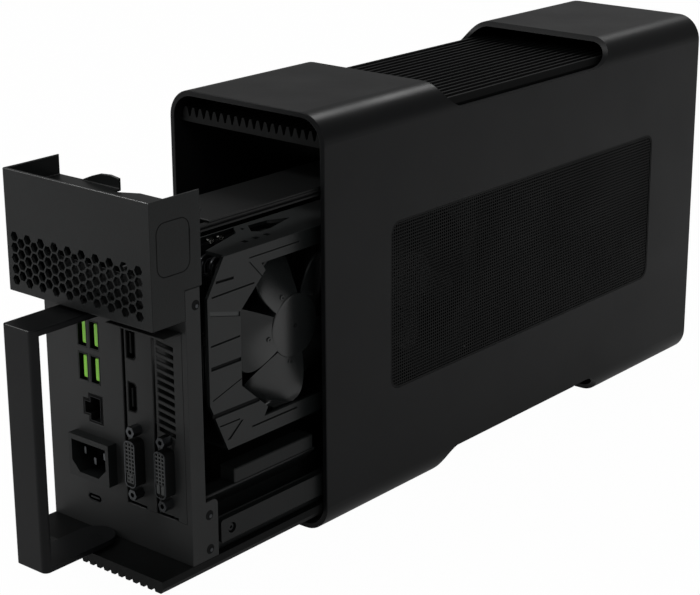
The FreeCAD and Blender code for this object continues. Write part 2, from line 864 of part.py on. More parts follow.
def make_bezel():
    """Upper rear housing: a face with the honeycomb vent, two side flanges, a floor and a shelf."""
    owner = body("bezel_body")
    side = tray_half
    step = low + S.bezel_step
    inner = side - S.sheet_thick
    face = sketch(owner, "XZ_Plane", "bezel_face_profile", tray_back)
    rectangle(face, -side, side, bezel_low, bezel_high)
    pad(owner, "bezel_face_plate", face, S.bezel_face)
    left = sketch(owner, "YZ_Plane", "bezel_left_profile", -side)
    reach = tray_back + S.bezel_left_flange
    outline(left, [(tray_back, bezel_low), (panel_y, bezel_low), (panel_y, step), (reach, step),
                   (reach, bezel_high), (tray_back, bezel_high)])
    pad(owner, "bezel_left_side", left, S.sheet_thick)
    right = sketch(owner, "YZ_Plane", "bezel_right_profile", inner)
    reach = tray_back + S.bezel_right_flange
    outline(right, [(tray_back, bezel_low), (panel_y, bezel_low), (panel_y, step), (reach, step),
                    (reach, bezel_high), (tray_back, bezel_high)])
    pad(owner, "bezel_right_side", right, S.sheet_thick)
    floor = sketch(owner, "XY_Plane", "bezel_floor_profile", bezel_low)
    rectangle(floor, -side, side, tray_back, panel_y)
    pad(owner, "bezel_floor", floor, S.sheet_thick)
    fillet(owner, "bezel_top_edge", S.bezel_edge, lambda edge: (
        runs_along(edge, 0) and near(edge.CenterOfMass.y, tray_back)
        and near(edge.CenterOfMass.z, bezel_high)))
    make_shelf(owner, inner)
    boss = sketch(owner, "XY_Plane", "pivot_boss_profile", bezel_low)
    pivot_y = tray_back + S.handle_pivot_in
    disc(boss, S.handle_x, pivot_y, S.pivot_boss - S.seat_clear * 6)
    pad(owner, "pivot_boss", boss, bezel_low - low - S.handle_top - S.slide_clear, back=True)
    bore = sketch(owner, "XY_Plane", "bezel_bore_profile", bezel_low + S.sheet_thick)
    disc(bore, S.handle_x, pivot_y, S.pivot_radius + S.pin_clear)
    pocket(owner, "bezel_bore", bore, S.bezel_deep / 2)
    hole = sketch(owner, "YZ_Plane", "pad_hole_profile", side)
    rounded(hole, *pad_limits(S.pad_gap))
    pocket(owner, "pad_hole", hole, S.sheet_thick)
    make_honeycomb(owner)
    return keep(owner, "rear_bezel")


def make_shelf(owner, inner):
    """Shelf under the bezel's rim, with a curved upright tab and a dip in its rear edge."""
    shelf = bezel_high - S.bezel_shelf_drop
    rear = tray_back + S.bezel_left_flange
    left = S.tab_left
    right = S.tab_right
    dip = S.tab_dip
    wide = S.tab_dip_wide
    deck = sketch(owner, "XY_Plane", "bezel_shelf_profile", shelf)
    outline(deck, [
        (-tray_half, tray_back), (inner, tray_back), (inner, rear), (right + wide, rear),
        (right + wide * 0.7, rear - dip * 0.35), (right + wide * 0.35, rear - dip * 0.75),
        (right, rear - dip), (right, rear), (-tray_half, rear)])
    pad(owner, "bezel_shelf", deck, S.sheet_thick, back=True)
    long = right - left
    high = S.tab_high
    tab = sketch(owner, "XZ_Plane", "tab_profile", rear - S.sheet_thick)
    outline(tab, [
        (left, shelf - S.sheet_thick), (right, shelf - S.sheet_thick), (right, shelf + high * 0.87),
        (right - long * 0.21, shelf + high), (right - long * 0.46, shelf + high * 0.9),
        (right - long * 0.68, shelf + high * 0.55), (right - long * 0.86, shelf + high * 0.19),
        (left, shelf - S.sheet_thick / 2)])
    pad(owner, "finger_tab", tab, S.sheet_thick)


def hexagon(profile, x, z):
    """One cell of the honeycomb, with a flat top and bottom."""
    flat = (S.vent_pitch - S.vent_wall) / 2
    point = flat * (2 / ROOT3)
    outline(profile, [(x + point, z), (x + point / 2, z + flat), (x - point / 2, z + flat),
                      (x - point, z), (x - point / 2, z - flat), (x + point / 2, z - flat)])


def make_honeycomb(owner):
    """Honeycomb vent: tall columns of cells with columns of one cell less between them."""
    step = S.vent_pitch * (ROOT3 / 2)
    first = S.vent_x - step * (S.vent_tall_columns - 1)
    vent_columns(owner, "tall", first, 5, S.vent_tall_columns)
    vent_columns(owner, "short", first + step, 4, S.vent_tall_columns - 1)


def vent_columns(owner, name, x, cell_count, column_count):
    """Cuts a column of cells at x and repeats it along X."""
    step = S.vent_pitch * (ROOT3 / 2)
    profile = sketch(owner, "XZ_Plane", f"{name}_column_profile", tray_back)
    for cell in range(cell_count):
        hexagon(profile, x, low + S.vent_z + S.vent_pitch * (cell - (cell_count - 1) / 2))
    column = pocket(owner, f"{name}_column", profile, S.bezel_face)
    row(owner, f"{name}_columns", column, "X_Axis", step * 2, column_count)


def pad_limits(grow=0):
    """Limits and corner radius of the latch pad in Y and Z."""
    centre = tray_back + S.pad_from_face
    wide = S.pad_wide / 2 + grow
    high = S.pad_high / 2 + grow
    z = low + S.pad_z
    return centre - wide, centre + wide, z - high, z + high, S.pad_corner + grow


def make_latch():
    """Sprung latch pad flush in the bezel's side, and the block that guides its stem."""
    owner = body("latch_pad_body")
    profile = sketch(owner, "YZ_Plane", "latch_pad_profile", tray_half)
    rounded(profile, *pad_limits())
    pad(owner, "latch_pad_plate", profile, S.pad_thick, back=True)
    y = tray_back + S.pad_from_face
    z = low + S.pad_z
    inside = tray_half - S.pad_thick
    stem = sketch(owner, "YZ_Plane", "latch_stem_profile", inside)
    disc(stem, y, z, S.pad_stem)
    room = S.pad_travel + S.slide_clear
    pad(owner, "latch_stem", stem, room + S.pad_block + S.pad_travel, back=True)
    keep(owner, "latch_pad")
    block_x = inside - room
    reach = S.pad_stem * 2
    block = box("latch_block", block_x - S.pad_block, block_x, y - reach, y + reach, z - reach, z + reach)
    under_shelf = bezel_high - S.bezel_shelf_drop - S.sheet_thick
    shelf = box("latch_shelf", block_x - S.pad_block, block_x, y - reach, y + reach, z + reach, under_shelf)
    bore = rod("latch_bore", "x", S.pad_stem + S.pin_clear, block_x - S.pad_block - 1, block_x + 1, y, z)
    keep(cut("latch_guide_cut", fuse("latch_guide_block", block, shelf), bore), "latch_guide")


# Handle

def make_handle():
    """Folding handle: a bar between two arms with round ends, swinging about an upright pin."""
    owner = body("handle_body")
    pivot_y = tray_back + S.handle_pivot_in
    out = tray_back - S.handle_reach
    wide = S.handle_wide / 2
    x0 = S.handle_x - wide
    x1 = S.handle_x + wide
    bottom = base_z + S.slide_clear
    high = low + S.handle_top
    plan = sketch(owner, "XY_Plane", "handle_plan", bottom)
    rectangle(plan, x0, x1, out, pivot_y)
    pad(owner, "handle_block", plan, high - bottom)
    end = sketch(owner, "XY_Plane", "handle_end_plan", bottom)
    disc(end, S.handle_x, pivot_y, wide)
    pad(owner, "handle_end", end, high - bottom)
    gap = sketch(owner, "YZ_Plane", "handle_gap_profile", x1 + 1)
    rectangle(gap, out + S.handle_thick, pivot_y + wide + 1, bottom + S.handle_arm, high - S.handle_arm)
    pocket(owner, "handle_gap", gap, S.handle_wide + 2)
    fillet(owner, "handle_right_bend", S.handle_bend, lambda edge: (
        runs_along(edge, 2) and near(edge.CenterOfMass.y, out) and near(edge.CenterOfMass.x, x1)))
    fillet(owner, "handle_left_edge", S.handle_edge, lambda edge: (
        runs_along(edge, 2) and near(edge.CenterOfMass.y, out) and near(edge.CenterOfMass.x, x0)))
    fillet(owner, "handle_rims", S.handle_round, lambda edge: (
        near(edge.BoundBox.ZMin, high) or near(edge.BoundBox.ZMax, bottom)))
    bore = sketch(owner, "XY_Plane", "handle_bore_plan", high)
    disc(bore, S.handle_x, pivot_y, S.pivot_radius)
    pocket(owner, "handle_bore", bore, high - bottom)
    keep(owner, "handle")
    lower = rod("lower_pin", "z", S.pivot_radius, base_low + S.base_rib_deep, bottom + S.handle_arm,
                S.handle_x, pivot_y)
    upper = rod("upper_pin", "z", S.pivot_radius, high - S.handle_arm, bezel_low + S.sheet_thick + 1,
                S.handle_x, pivot_y)
    keep(group("pivot_pins", lower, upper), "handle_pivot_pins")


# Tray: inner frame

def make_slide_bars():
    """Flat bars on the tray's sides, round at the corners, with a fixing hole near the rear end."""
    z0 = base_z + S.slide_clear * 2 + S.rail_high
    z1 = z0 + S.bar_high
    y0 = panel_y + S.bar_from_panel
    for name, x, back in (("left", S.pan_half, True), ("right", S.pan_half, False)):
        owner = body(f"{name}_bar_body")
        profile = sketch(owner, "YZ_Plane", f"{name}_bar_profile", -x if back else x)
        rounded(profile, y0, y0 + S.bar_long, z0, z1, S.bar_thick / 2)
        disc(profile, y0 + S.bar_hole_in, (z0 + z1) / 2, S.bar_hole)
        pad(owner, f"{name}_bar", profile, S.bar_thick, back=back)
        keep(owner, f"{name}_slide_bar")


def make_pan():
    """Folded inner pan that stands on the base plate and carries the slide bars."""
    owner = body("pan_body")
    profile = sketch(owner, "XZ_Plane", "pan_profile", panel_in)
    side = S.pan_half
    sheet = S.sheet_thick
    high = base_z + S.pan_side
    outline(profile, [
        (-side, base_z), (side, base_z), (side, high), (side - sheet, high),
        (side - sheet, base_z + sheet), (sheet - side, base_z + sheet), (sheet - side, high), (-side, high)])
    pad(owner, "pan_sheet", profile, tray_end - panel_in)
    keep(owner, "inner_pan")


def make_chassis_top():
    """Flat sheet over the card bay, with a thin stepped rail under its right edge."""
    right = tray_half - S.sheet_thick
    high = low + S.chassis_top
    under = high - S.sheet_thick
    start = tray_back + S.chassis_from_face
    keep(box("chassis_sheet", S.chassis_left, right, start, tray_end, under, high), "chassis_top")
    rail = body("cable_rail_body")
    start = tray_back + S.bezel_right_flange - S.cable_rail_lap
    shape = sketch(rail, "XZ_Plane", "cable_rail_profile", start)
    wide = S.cable_rail_wide
    step = S.cable_rail_high / 3
    base = under - S.cable_rail_high
    outline(shape, [
        (right - wide, base), (right, base), (right, base + step), (right - wide / 2, base + step),
        (right - wide / 2, base + step * 2), (right, base + step * 2), (right, under), (right - wide, under)])
    pad(rail, "cable_rail_bar", shape, tray_end - S.sheet_thick - start)
    keep(rail, "cable_rail")


def make_front_frame():
    """Upright wall across the far end of the tray, with a header that carries the card bay's sheet."""
    owner = body("end_wall_body")
    left = S.sheet_thick - S.pan_half
    side = S.card_x - 2
    head = low + S.header_low
    step = low + S.header_step
    high = low + S.chassis_top - S.sheet_thick
    wall = low + S.left_wall_high
    profile = sketch(owner, "XZ_Plane", "end_wall_profile", tray_end - S.sheet_thick)
    outline(profile, [
        (left, base_z + S.sheet_thick), (side, base_z + S.sheet_thick), (side, head),
        (tray_half - S.sheet_thick, head), (tray_half - S.sheet_thick, high), (S.chassis_left, high),
        (S.chassis_left, step), (0, step), (0, wall), (left, wall)])
    pad(owner, "end_wall_sheet", profile, S.sheet_thick)
    keep(owner, "end_wall")


def make_left_plate():
    """Upright wall on the closed side of the tray, standing on the pan."""
    left = S.sheet_thick - S.pan_half
    plate = box("left_plate", left, left + S.sheet_thick, panel_in + S.slide_clear, tray_end - S.sheet_thick,
                base_z + S.sheet_thick, low + S.left_wall_high)
    keep(plate, "left_wall")


def make_supply():
    """Power supply case, standing on edge in the closed half of the tray."""
    x0 = S.supply_left + S.sheet_thick * 2
    y0 = panel_y + S.supply_from_panel
    z0 = base_z + S.sheet_thick
    case = box("supply_case", x0, x0 + S.supply_wide, y0, y0 + S.supply_long, z0, z0 + S.supply_high)
    keep(case, "power_supply")


def make_riser():
    """Riser board on two folded rails, with the long socket that holds the card's edge."""
    left = S.supply_left + S.supply_wide + S.sheet_thick * 3
    bottom = low + S.riser_top - S.board_thick
    y0 = panel_in + 1
    y1 = tray_end - S.sheet_thick - 1
    right = S.riser_right
    sheet = S.sheet_thick
    rails = []
    for name, x in (("left", left), ("right", right - sheet)):
        rails.append(box(f"{name}_riser_rail", x, x + sheet, y0, y1, base_z + sheet, bottom))
    keep(group("riser_rail_pair", *rails), "riser_rails")
    keep(box("riser_board_sheet", left, right, y0, y1, bottom, low + S.riser_top), "riser_board")
    middle = S.card_x + S.card_thick / 2
    wide = S.slot_body_wide / 2
    gap = S.card_thick / 2 + S.seat_clear
    finger_y = panel_y + S.finger_from_panel
    z0 = low + S.riser_top
    z1 = z0 + S.slot_body_high
    block = box("slot_block", middle - wide, middle + wide, finger_y - 3, finger_y + S.finger_long + 3,
                z0, z1)
    groove = box("slot_groove", middle - gap, middle + gap, finger_y - 0.5, finger_y + S.finger_long + 0.5,
                 low + S.finger_low, z1 + 1)
    keep(cut("card_slot_cut", block, groove), "card_slot")


def make_side_support():
    """Folded sheet beside the riser: a foot, an upright, a sloping face and a ledge."""
    owner = body("side_support_body")
    profile = sketch(owner, "XZ_Plane", "side_support_profile", panel_in)
    t = S.sheet_thick
    x0 = S.support_x
    x1 = S.box_x - 0.4
    z0 = base_z + t
    bend = low + S.support_bend
    ledge = low + S.box_low
    outline(profile, [
        (x0 - t * 1.5, z0), (x0 + t, z0), (x0 + t, bend), (x1, ledge - t), (x1, ledge),
        (x1 - S.box_wide, ledge), (x1 - S.box_wide, ledge - t), (x1 - t * 2, ledge - t),
        (x0, bend + t / 2), (x0, z0 + t), (x0 - t * 1.5, z0 + t)])
    pad(owner, "side_support_sheet", profile, S.support_long)
    keep(owner, "side_support")
    y0 = panel_y + S.box_from_panel
    cover = box("riser_box", S.box_x - S.box_wide, S.box_x, y0, y0 + S.box_long, ledge, ledge + S.box_high)
    keep(cover, "riser_cover")


# Connectors

def make_usb():
    """Four upright ports in two shells, each with its coloured tongue."""
    y0 = panel_y
    y1 = y0 + S.usb_deep
    for name, lift in (("lower", 0), ("upper", S.usb_pitch_z)):
        owner = body(f"usb_{name}_body")
        x0, x1, z0, z1 = usb_limits()
        shell = sketch(owner, "XZ_Plane", f"usb_{name}_shell_profile", y0)
        rectangle(shell, x0, x1, z0 + lift, z1 + lift)
        block = pad(owner, f"usb_{name}_shell", shell, S.usb_deep)
        back = sketch(owner, "XZ_Plane", f"usb_{name}_back_profile", y0 + S.sheet_thick)
        rectangle(back, x0, x1 + S.usb_pitch_x, z0 + lift, z1 + lift)
        pad(owner, f"usb_{name}_back", back, S.usb_deep - S.sheet_thick)
        second = sketch(owner, "XZ_Plane", f"usb_{name}_second_profile", y0)
        rectangle(second, x0 + S.usb_pitch_x, x1 + S.usb_pitch_x, z0 + lift, z1 + lift)
        pad(owner, f"usb_{name}_second", second, S.usb_deep)
        mouth_profile = sketch(owner, "XZ_Plane", f"usb_{name}_mouth_profile", y0)
        t = S.usb_shell
        rectangle(mouth_profile, x0 + t, x1 - t, z0 + t + lift, z1 - t + lift)
        opening = pocket(owner, f"usb_{name}_mouth", mouth_profile, S.usb_deep - t * 2)
        row(owner, f"usb_{name}_mouths", opening, "X_Axis", S.usb_pitch_x, 2)
        keep(owner, f"usb_port_{name}")
    tongues = []
    for i in range(2):
        for j in range(2):
            x = S.usb_x + S.usb_pitch_x * i + S.usb_wide / 8
            z = low + S.usb_z + S.usb_pitch_z * j
            wide = S.usb_tongue_thick / 2
            high = S.usb_tongue_high / 2
            tongues.append(box(f"tongue_{i}{j}", x - wide, x + wide, y0 + S.sheet_thick, y1 - S.usb_shell * 2,
                               z - high, z + high))
    keep(group("tongues", *tongues), "usb_tongues")


def make_jack():
    """Network jack: a housing with a stepped opening."""
    owner = body("jack_body")
    profile = sketch(owner, "XZ_Plane", "jack_profile", panel_y + S.seat_clear)
    outline(profile, jack_outline(S.jack_wall))
    pad(owner, "jack_block", profile, S.jack_deep)
    hole = sketch(owner, "XZ_Plane", "jack_hole_profile", panel_y + S.seat_clear)
    outline(hole, jack_outline())
    pocket(owner, "jack_hole", hole, S.jack_deep - S.jack_wall)
    keep(owner, "network_jack")


def inlet_mouth(grow=0):
    """Outline of the power inlet's recess: a rectangle with its two lower corners cut off."""
    wide = S.inlet_mouth_wide / 2 + grow
    high = S.inlet_mouth_high / 2 + grow
    skew = S.inlet_mouth_chamfer + grow / 2
    x = S.inlet_x
    z = low + S.inlet_z
    return [(x - wide, z + high), (x - wide, z - high + skew), (x - wide + skew, z - high),
            (x + wide - skew, z - high), (x + wide, z - high + skew), (x + wide, z + high)]


def make_inlet():
    """Power inlet: a proud flange, a body behind the panel, a shaped recess and three blades."""
    owner = body("inlet_body")
    x = S.inlet_x
    z = low + S.inlet_z
    wide = S.inlet_wide / 2
    high = S.inlet_high / 2
    face = panel_y - S.inlet_proud
    flange = sketch(owner, "XZ_Plane", "inlet_flange_profile", face)
    rectangle(flange, x - wide, x + wide, z - high, z + high)
    pad(owner, "inlet_flange", flange, S.inlet_proud)
    rear = sketch(owner, "XZ_Plane", "inlet_rear_profile", panel_y)
    grow = 1 - S.seat_clear
    reach = S.inlet_mouth_wide / 2 + grow
    rise = S.inlet_mouth_high / 2 + grow
    rectangle(rear, x - reach, x + reach, z - rise, z + rise)
    pad(owner, "inlet_rear", rear, S.inlet_deep - S.inlet_proud + S.inlet_back)
    recess = sketch(owner, "XZ_Plane", "inlet_recess_profile", face)
    outline(recess, inlet_mouth())
    pocket(owner, "inlet_recess", recess, S.inlet_deep)
    keep(owner, "power_inlet")
    end = face + S.inlet_deep
    blades = []
    places = ((-S.pin_spread, S.pin_rise), (S.pin_spread, S.pin_rise), (size(0), -S.pin_rise))
    for i, (dx, dz) in enumerate(places):
        blades.append(box(f"blade_{i}", x + dx - S.pin_wide / 2, x + dx + S.pin_wide / 2,
                          end - S.pin_long, end, z + dz - S.pin_high / 2, z + dz + S.pin_high / 2))
    keep(group("blades", *blades), "inlet_blades")


def make_typec():
    """Flat oval port with its inner tongue."""
    owner = body("typec_body")
    profile = sketch(owner, "XZ_Plane", "typec_profile", panel_y + S.seat_clear)
    rounded(profile, *typec_limits(S.typec_shell))
    pad(owner, "typec_shell", profile, S.typec_deep)
    hole = sketch(owner, "XZ_Plane", "typec_hole_profile", panel_y + S.seat_clear)
    rounded(hole, *typec_limits())
    z = low + S.typec_z
    reach = S.typec_wide / 3
    tongue = S.typec_high / 8
    rectangle(hole, S.typec_x - reach, S.typec_x + reach, z - tongue, z + tongue)
    pocket(owner, "typec_hole", hole, S.typec_deep - S.typec_shell * 2)
    keep(owner, "small_port")


def make_io_board():
    """Connector board that stands behind the rear panel's ports."""
    y = panel_y + S.jack_deep + S.seat_clear
    board = box("io_sheet", S.io_board_left, S.io_board_right, y, y + S.board_thick,
                low + S.io_board_low, low + S.io_board_high)
    x = S.inlet_x
    z = low + S.inlet_z
    wide = S.inlet_wide / 2
    high = S.inlet_high / 2
    opening = box("io_opening", x - wide, x + wide, y - 1, y + S.board_thick + 1, z - high, z + high)
    keep(cut("io_board_cut", board, opening), "port_board")
    z = low + S.typec_z
    start = panel_y + S.seat_clear + S.typec_deep
    spacer = box("typec_spacer", S.typec_x - S.typec_wide / 2, S.typec_x + S.typec_wide / 2, start, y,
                 z - S.typec_high, z + S.typec_high / 2)
    keep(spacer, "small_port_base")


# Graphics card

def make_bracket():
    """Two-slot card bracket with its connector openings, slanted vents and the bent screw tab."""
    owner = body("bracket_body")
    x0 = S.bracket_x
    x1 = x0 + S.slot_pitch * 2 - S.slot_gap
    z0 = low + S.bracket_low
    z1 = low + S.bracket_high
    y = bracket_y
    plate = sketch(owner, "XZ_Plane", "bracket_profile", y)
    rectangle(plate, x0, x1, z0, z1)
    pad(owner, "bracket_plate", plate, S.bracket_thick)
    tab = sketch(owner, "XY_Plane", "bracket_tab_profile", z1)
    rectangle(tab, x0, x1, y - S.bracket_tab, y + S.bracket_thick)
    pad(owner, "bracket_tab", tab, S.bracket_thick, back=True)
    holes = sketch(owner, "XZ_Plane", "bracket_holes_profile", y)
    gap = x0 + S.slot_pitch - S.slot_gap
    rectangle(holes, gap, gap + S.slot_gap, z0 - 1, z1 - S.slot_bridge)
    for x in (x0 - 1, gap + S.slot_gap + 0.01):
        rectangle(holes, x, x + S.slot_foot_wide, z0 - 1, z0 + S.slot_foot_gap)
    outline(holes, video_outline(S.dp_z, S.dp_wide, S.dp_high, S.video_shell + S.seat_clear))
    outline(holes, video_outline(S.hdmi_z, S.hdmi_wide, S.hdmi_high, S.video_shell + S.seat_clear))
    middle = low + S.dvi_z
    for x in (S.dvi_x, S.dvi_x + S.slot_pitch):
        wide = S.dvi_wide / 2 + S.seat_clear
        high = S.dvi_high / 2 + S.seat_clear
        rounded(holes, x - wide, x + wide, middle - high, middle + high, S.dvi_corner)
        for z in (middle - S.nut_spread / 2, middle + S.nut_spread / 2):
            disc(holes, x, z, S.nut_bore + S.seat_clear)
    pocket(owner, "bracket_holes", holes, S.bracket_thick)
    vent = sketch(owner, "XZ_Plane", "grille_profile", y)
    z = low + S.grille_low
    end = S.grille_x + S.grille_wide
    outline(vent, [(S.grille_x, z), (end, z - S.grille_drop), (end, z - S.grille_drop + S.grille_slot),
                   (S.grille_x, z + S.grille_slot)])
    slot = pocket(owner, "grille_slot", vent, S.bracket_thick)
    row(owner, "grille_slots", slot, "Z_Axis", S.grille_pitch, S.grille_count)
    keep(owner, "card_bracket")


def video_outline(z, wide, high, grow=0):
    """Outline of an upright video port with both corners of its right side cut off."""
    x = S.video_x
    z = low + z
    wide = wide / 2 + grow
    high = high / 2 + grow
    skew = S.video_chamfer
    return [(x - wide, z - high), (x + wide - skew, z - high), (x + wide, z - high + skew),
            (x + wide, z + high - skew), (x + wide - skew, z + high), (x - wide, z + high)]


def make_video_port(name, z, wide, high):
    """One upright video port: a metal shell with a deep opening and a tongue."""
    owner = body(f"{name}_body")
    shell = sketch(owner, "XZ_Plane", f"{name}_shell_profile", bracket_y)
    outline(shell, video_outline(z, wide, high, S.video_shell))
    pad(owner, f"{name}_shell", shell, S.video_deep)
    hole = sketch(owner, "XZ_Plane", f"{name}_hole_profile", bracket_y)
    outline(hole, video_outline(z, wide, high))
    thick = wide / 10
    rectangle(hole, S.video_x - thick, S.video_x + thick, low + z - high / 3, low + z + high / 3)
    pocket(owner, f"{name}_hole", hole, S.video_deep - S.video_shell * 2)
    keep(owner, name)


def make_dvi(name, x, base_x):
    """Wide video port: a housing on the card, a proud shell and a face of small square holes."""
    owner = body(f"{name}_body")
    z = low + S.dvi_z
    face = bracket_y - S.dvi_proud
    wide = S.dvi_wide / 2
    high = S.dvi_high / 2
    shell = sketch(owner, "XZ_Plane", f"{name}_shell_profile", face)
    rounded(shell, x - wide, x + wide, z - high, z + high, S.dvi_corner)
    pad(owner, f"{name}_shell", shell, S.dvi_proud + S.bracket_thick)
    housing = sketch(owner, "XZ_Plane", f"{name}_housing_profile", bracket_in)
    tall = S.dvi_body_high / 2
    rectangle(housing, base_x, x + S.dvi_body_wide / 2, z - tall, z + tall)
    pad(owner, f"{name}_housing", housing, S.dvi_body_deep)
    pitch = S.dvi_hole_pitch
    hole = S.dvi_hole / 2
    start_x = x - pitch
    start_z = z + high - pitch
    pins = sketch(owner, "XZ_Plane", f"{name}_pins_profile", face)
    rectangle(pins, start_x - hole, start_x + hole, start_z - hole, start_z + hole)
    pin = pocket(owner, f"{name}_pin", pins, S.dvi_proud / 2)
    item = row(owner, f"{name}_pins", pin, "Z_Axis", pitch, 8, back=True)
    item.Direction2 = (origin_item(owner, "X_Axis"), [""])
    item.Mode2 = "Spacing"
    bind(item, "Offset2", pitch)
    bind(item, "Occurrences2", 3)
    doc.recompute()
    keep(owner, name)


def make_nuts():
    """Hexagonal jack screws beside the wide video ports."""
    nuts = []
    radius = S.nut_flat / ROOT3
    for x in (S.dvi_x, S.dvi_x + S.slot_pitch):
        for sign in (-1, 1):
            z = low + S.dvi_z + S.nut_spread / 2 * sign
            name = f"nut_{len(nuts)}"
            prism = doc.addObject("Part::Prism", name + "_prism")
            prism.Polygon = 6
            bind(prism, "Circumradius", radius)
            bind(prism, "Height", S.nut_long)
            prism.Placement = Placement(Vector(), Rotation(Vector(1, 0, 0), -90))
            place(prism, x, bracket_y - S.nut_long, z)
            stud = rod(name + "_stud", "y", S.nut_bore, bracket_y - 1, bracket_in, x, z)
            mouth_y = bracket_y - S.nut_long - 1
            bore = rod(name + "_bore", "y", S.nut_bore * 0.8, mouth_y, bracket_y - 1.5, x, z)
            nuts.append(cut(name, fuse(name + "_solid", prism, stud), bore))
    keep(group("nuts", *nuts), "jack_screws")


def make_card_board():
    """The card's circuit board, with the edge finger that sits in the socket."""
    owner = body("card_board_body")
    y0 = panel_in + S.seat_clear
    y1 = panel_y + S.card_long
    z0 = low + S.card_low
    finger = panel_y + S.finger_from_panel
    profile = sketch(owner, "YZ_Plane", "card_board_profile", S.card_x)
    outline(profile, [
        (y0, z0), (finger, z0), (finger, low + S.finger_low), (finger + S.finger_long, low + S.finger_low),
        (finger + S.finger_long, z0), (y1, z0), (y1, low + S.card_high), (y0, low + S.card_high)])
    pad(owner, "card_board_sheet", profile, S.card_thick)
    keep(owner, "card_board")


def shroud_points(shrink=0):
    """Faceted side outline of the cooler's shroud, the same at both ends."""
    y0 = panel_y + S.shroud_start + shrink
    y1 = panel_y + S.shroud_start + S.shroud_long - shrink
    z0 = low + S.shroud_low + shrink
    z1 = low + S.shroud_high - shrink
    slope = S.shroud_slope
    return [
        (y0 + slope, z0), (y1 - slope, z0), (y1, z0 + S.shroud_foot), (y1, z1 - S.shroud_shoulder),
        (y1 - slope, z1), (y0 + slope, z1), (y0, z1 - S.shroud_shoulder), (y0, z0 + S.shroud_foot)]


def make_shroud():
    """Faceted shroud over the heatsink: a hollow shell with two fan openings and cut lines."""
    owner = body("shroud_body")
    inner = card_face + S.fin_base
    deep = S.shroud_face - inner
    profile = sketch(owner, "YZ_Plane", "shroud_profile", inner)
    outline(profile, shroud_points())
    pad(owner, "shroud_block", profile, deep)
    hollow = sketch(owner, "YZ_Plane", "shroud_hollow_profile", S.shroud_face - S.shroud_wall)
    outline(hollow, shroud_points(S.shroud_wall))
    pocket(owner, "shroud_hollow", hollow, deep)
    opening = sketch(owner, "YZ_Plane", "fan_opening_profile", S.shroud_face)
    outline(opening, fan_opening_points())
    hole = pocket(owner, "fan_opening", opening, S.shroud_wall * 2)
    row(owner, "fan_openings", hole, "Y_Axis", S.fan_pitch, 2)
    start = panel_y + S.shroud_start
    end = sketch(owner, "XZ_Plane", "shroud_end_profile", start - 1)
    rectangle(end, inner - 1, S.shroud_face - S.shroud_wall,
              low + S.shroud_low + S.shroud_wall, low + S.shroud_high + 1)
    pocket(owner, "shroud_end", end, S.shroud_slope + S.shroud_wall + 1)
    make_shroud_lines(owner, start)
    make_shroud_roof(owner, start)
    keep(owner, "cooler_shroud")


def fan_opening_points():
    """Eight-sided opening for the rear fan, with a small notch beside each corner of its short sides."""
    half_wide = S.fan_open_half
    high = S.fan_open_high
    shoulder = S.fan_open_shoulder
    corner = S.fan_open_corner
    notch = corner - S.fan_open_notch
    notch_high = high - S.fan_open_notch_high
    quarter = [(half_wide, shoulder), (notch, notch_high), (corner, high)]
    points = [(fan_y + y, low + S.fan_z + z) for y, z in quarter]
    points += [(fan_y - y, low + S.fan_z + z) for y, z in reversed(quarter)]
    points += [(fan_y - y, low + S.fan_z - z) for y, z in quarter]
    points += [(fan_y + y, low + S.fan_z - z) for y, z in reversed(quarter)]
    return points


def make_shroud_lines(owner, start):
    """Shallow cut lines in the shroud's face, each from one point to another, with its height."""
    lines = sketch(owner, "YZ_Plane", "shroud_lines_profile", S.shroud_face)
    for y0, z0, y1, z1, high in (
            (6.0, 150.0, 18.0, 149.6, 1.3), (3.0, 143.5, 32.0, 143.8, 0.8), (1.6, 135.0, 21.8, 130.0, 2.4),
            (1.6, 119.5, 21.5, 119.7, 0.9), (1.4, 107.6, 21.8, 107.4, 2.0), (2.0, 92.2, 21.8, 98.0, 0.6),
            (2.0, 83.2, 34.0, 82.8, 2.4), (6.2, 77.8, 20.0, 77.6, 0.7), (28.5, 70.8, 61.0, 70.8, 0.9),
            (28.9, 157.0, 64.0, 157.0, 0.6)):
        outline(lines, [(start + y0, low + z0), (start + y1, low + z1), (start + y1, low + z1 + high),
                        (start + y0, low + z0 + high)])
    outline(lines, [(start + 28.5, low + 155.2), (start + 37.0, low + 146.2), (start + 37.9, low + 146.2),
                    (start + 29.4, low + 155.2)])
    outline(lines, [(start + 11.0, low + 69.6), (start + 13.2, low + 69.6), (start + 22.6, low + 77.0),
                    (start + 20.8, low + 77.0)])
    pocket(owner, "shroud_lines", lines, S.groove_deep)


def make_shroud_roof(owner, start):
    """Openings in the shroud's top: a row of small squares, a leaf shape and a cut-away rear corner."""
    roof = sketch(owner, "XY_Plane", "shroud_roof_profile", low + S.shroud_high)
    y = start + S.shroud_slope
    for i in range(3):
        rectangle(roof, 31, 34, y + 23 + 7.7 * i, y + 26 + 7.7 * i)
    outline(roof, [(15, y + 45), (23.2, y + 38.8), (26.8, y + 41.8), (26.3, y + 50), (21.3, y + 69),
                   (15.9, y + 58)])
    rectangle(roof, 16, 18, y + 38, y + 40)
    outline(roof, [(12, y), (29, y), (27.5, y + 5.3), (19.7, y + 31.7), (12, y + 38)])
    pocket(owner, "shroud_roof_holes", roof, S.shroud_wall * 1.5)


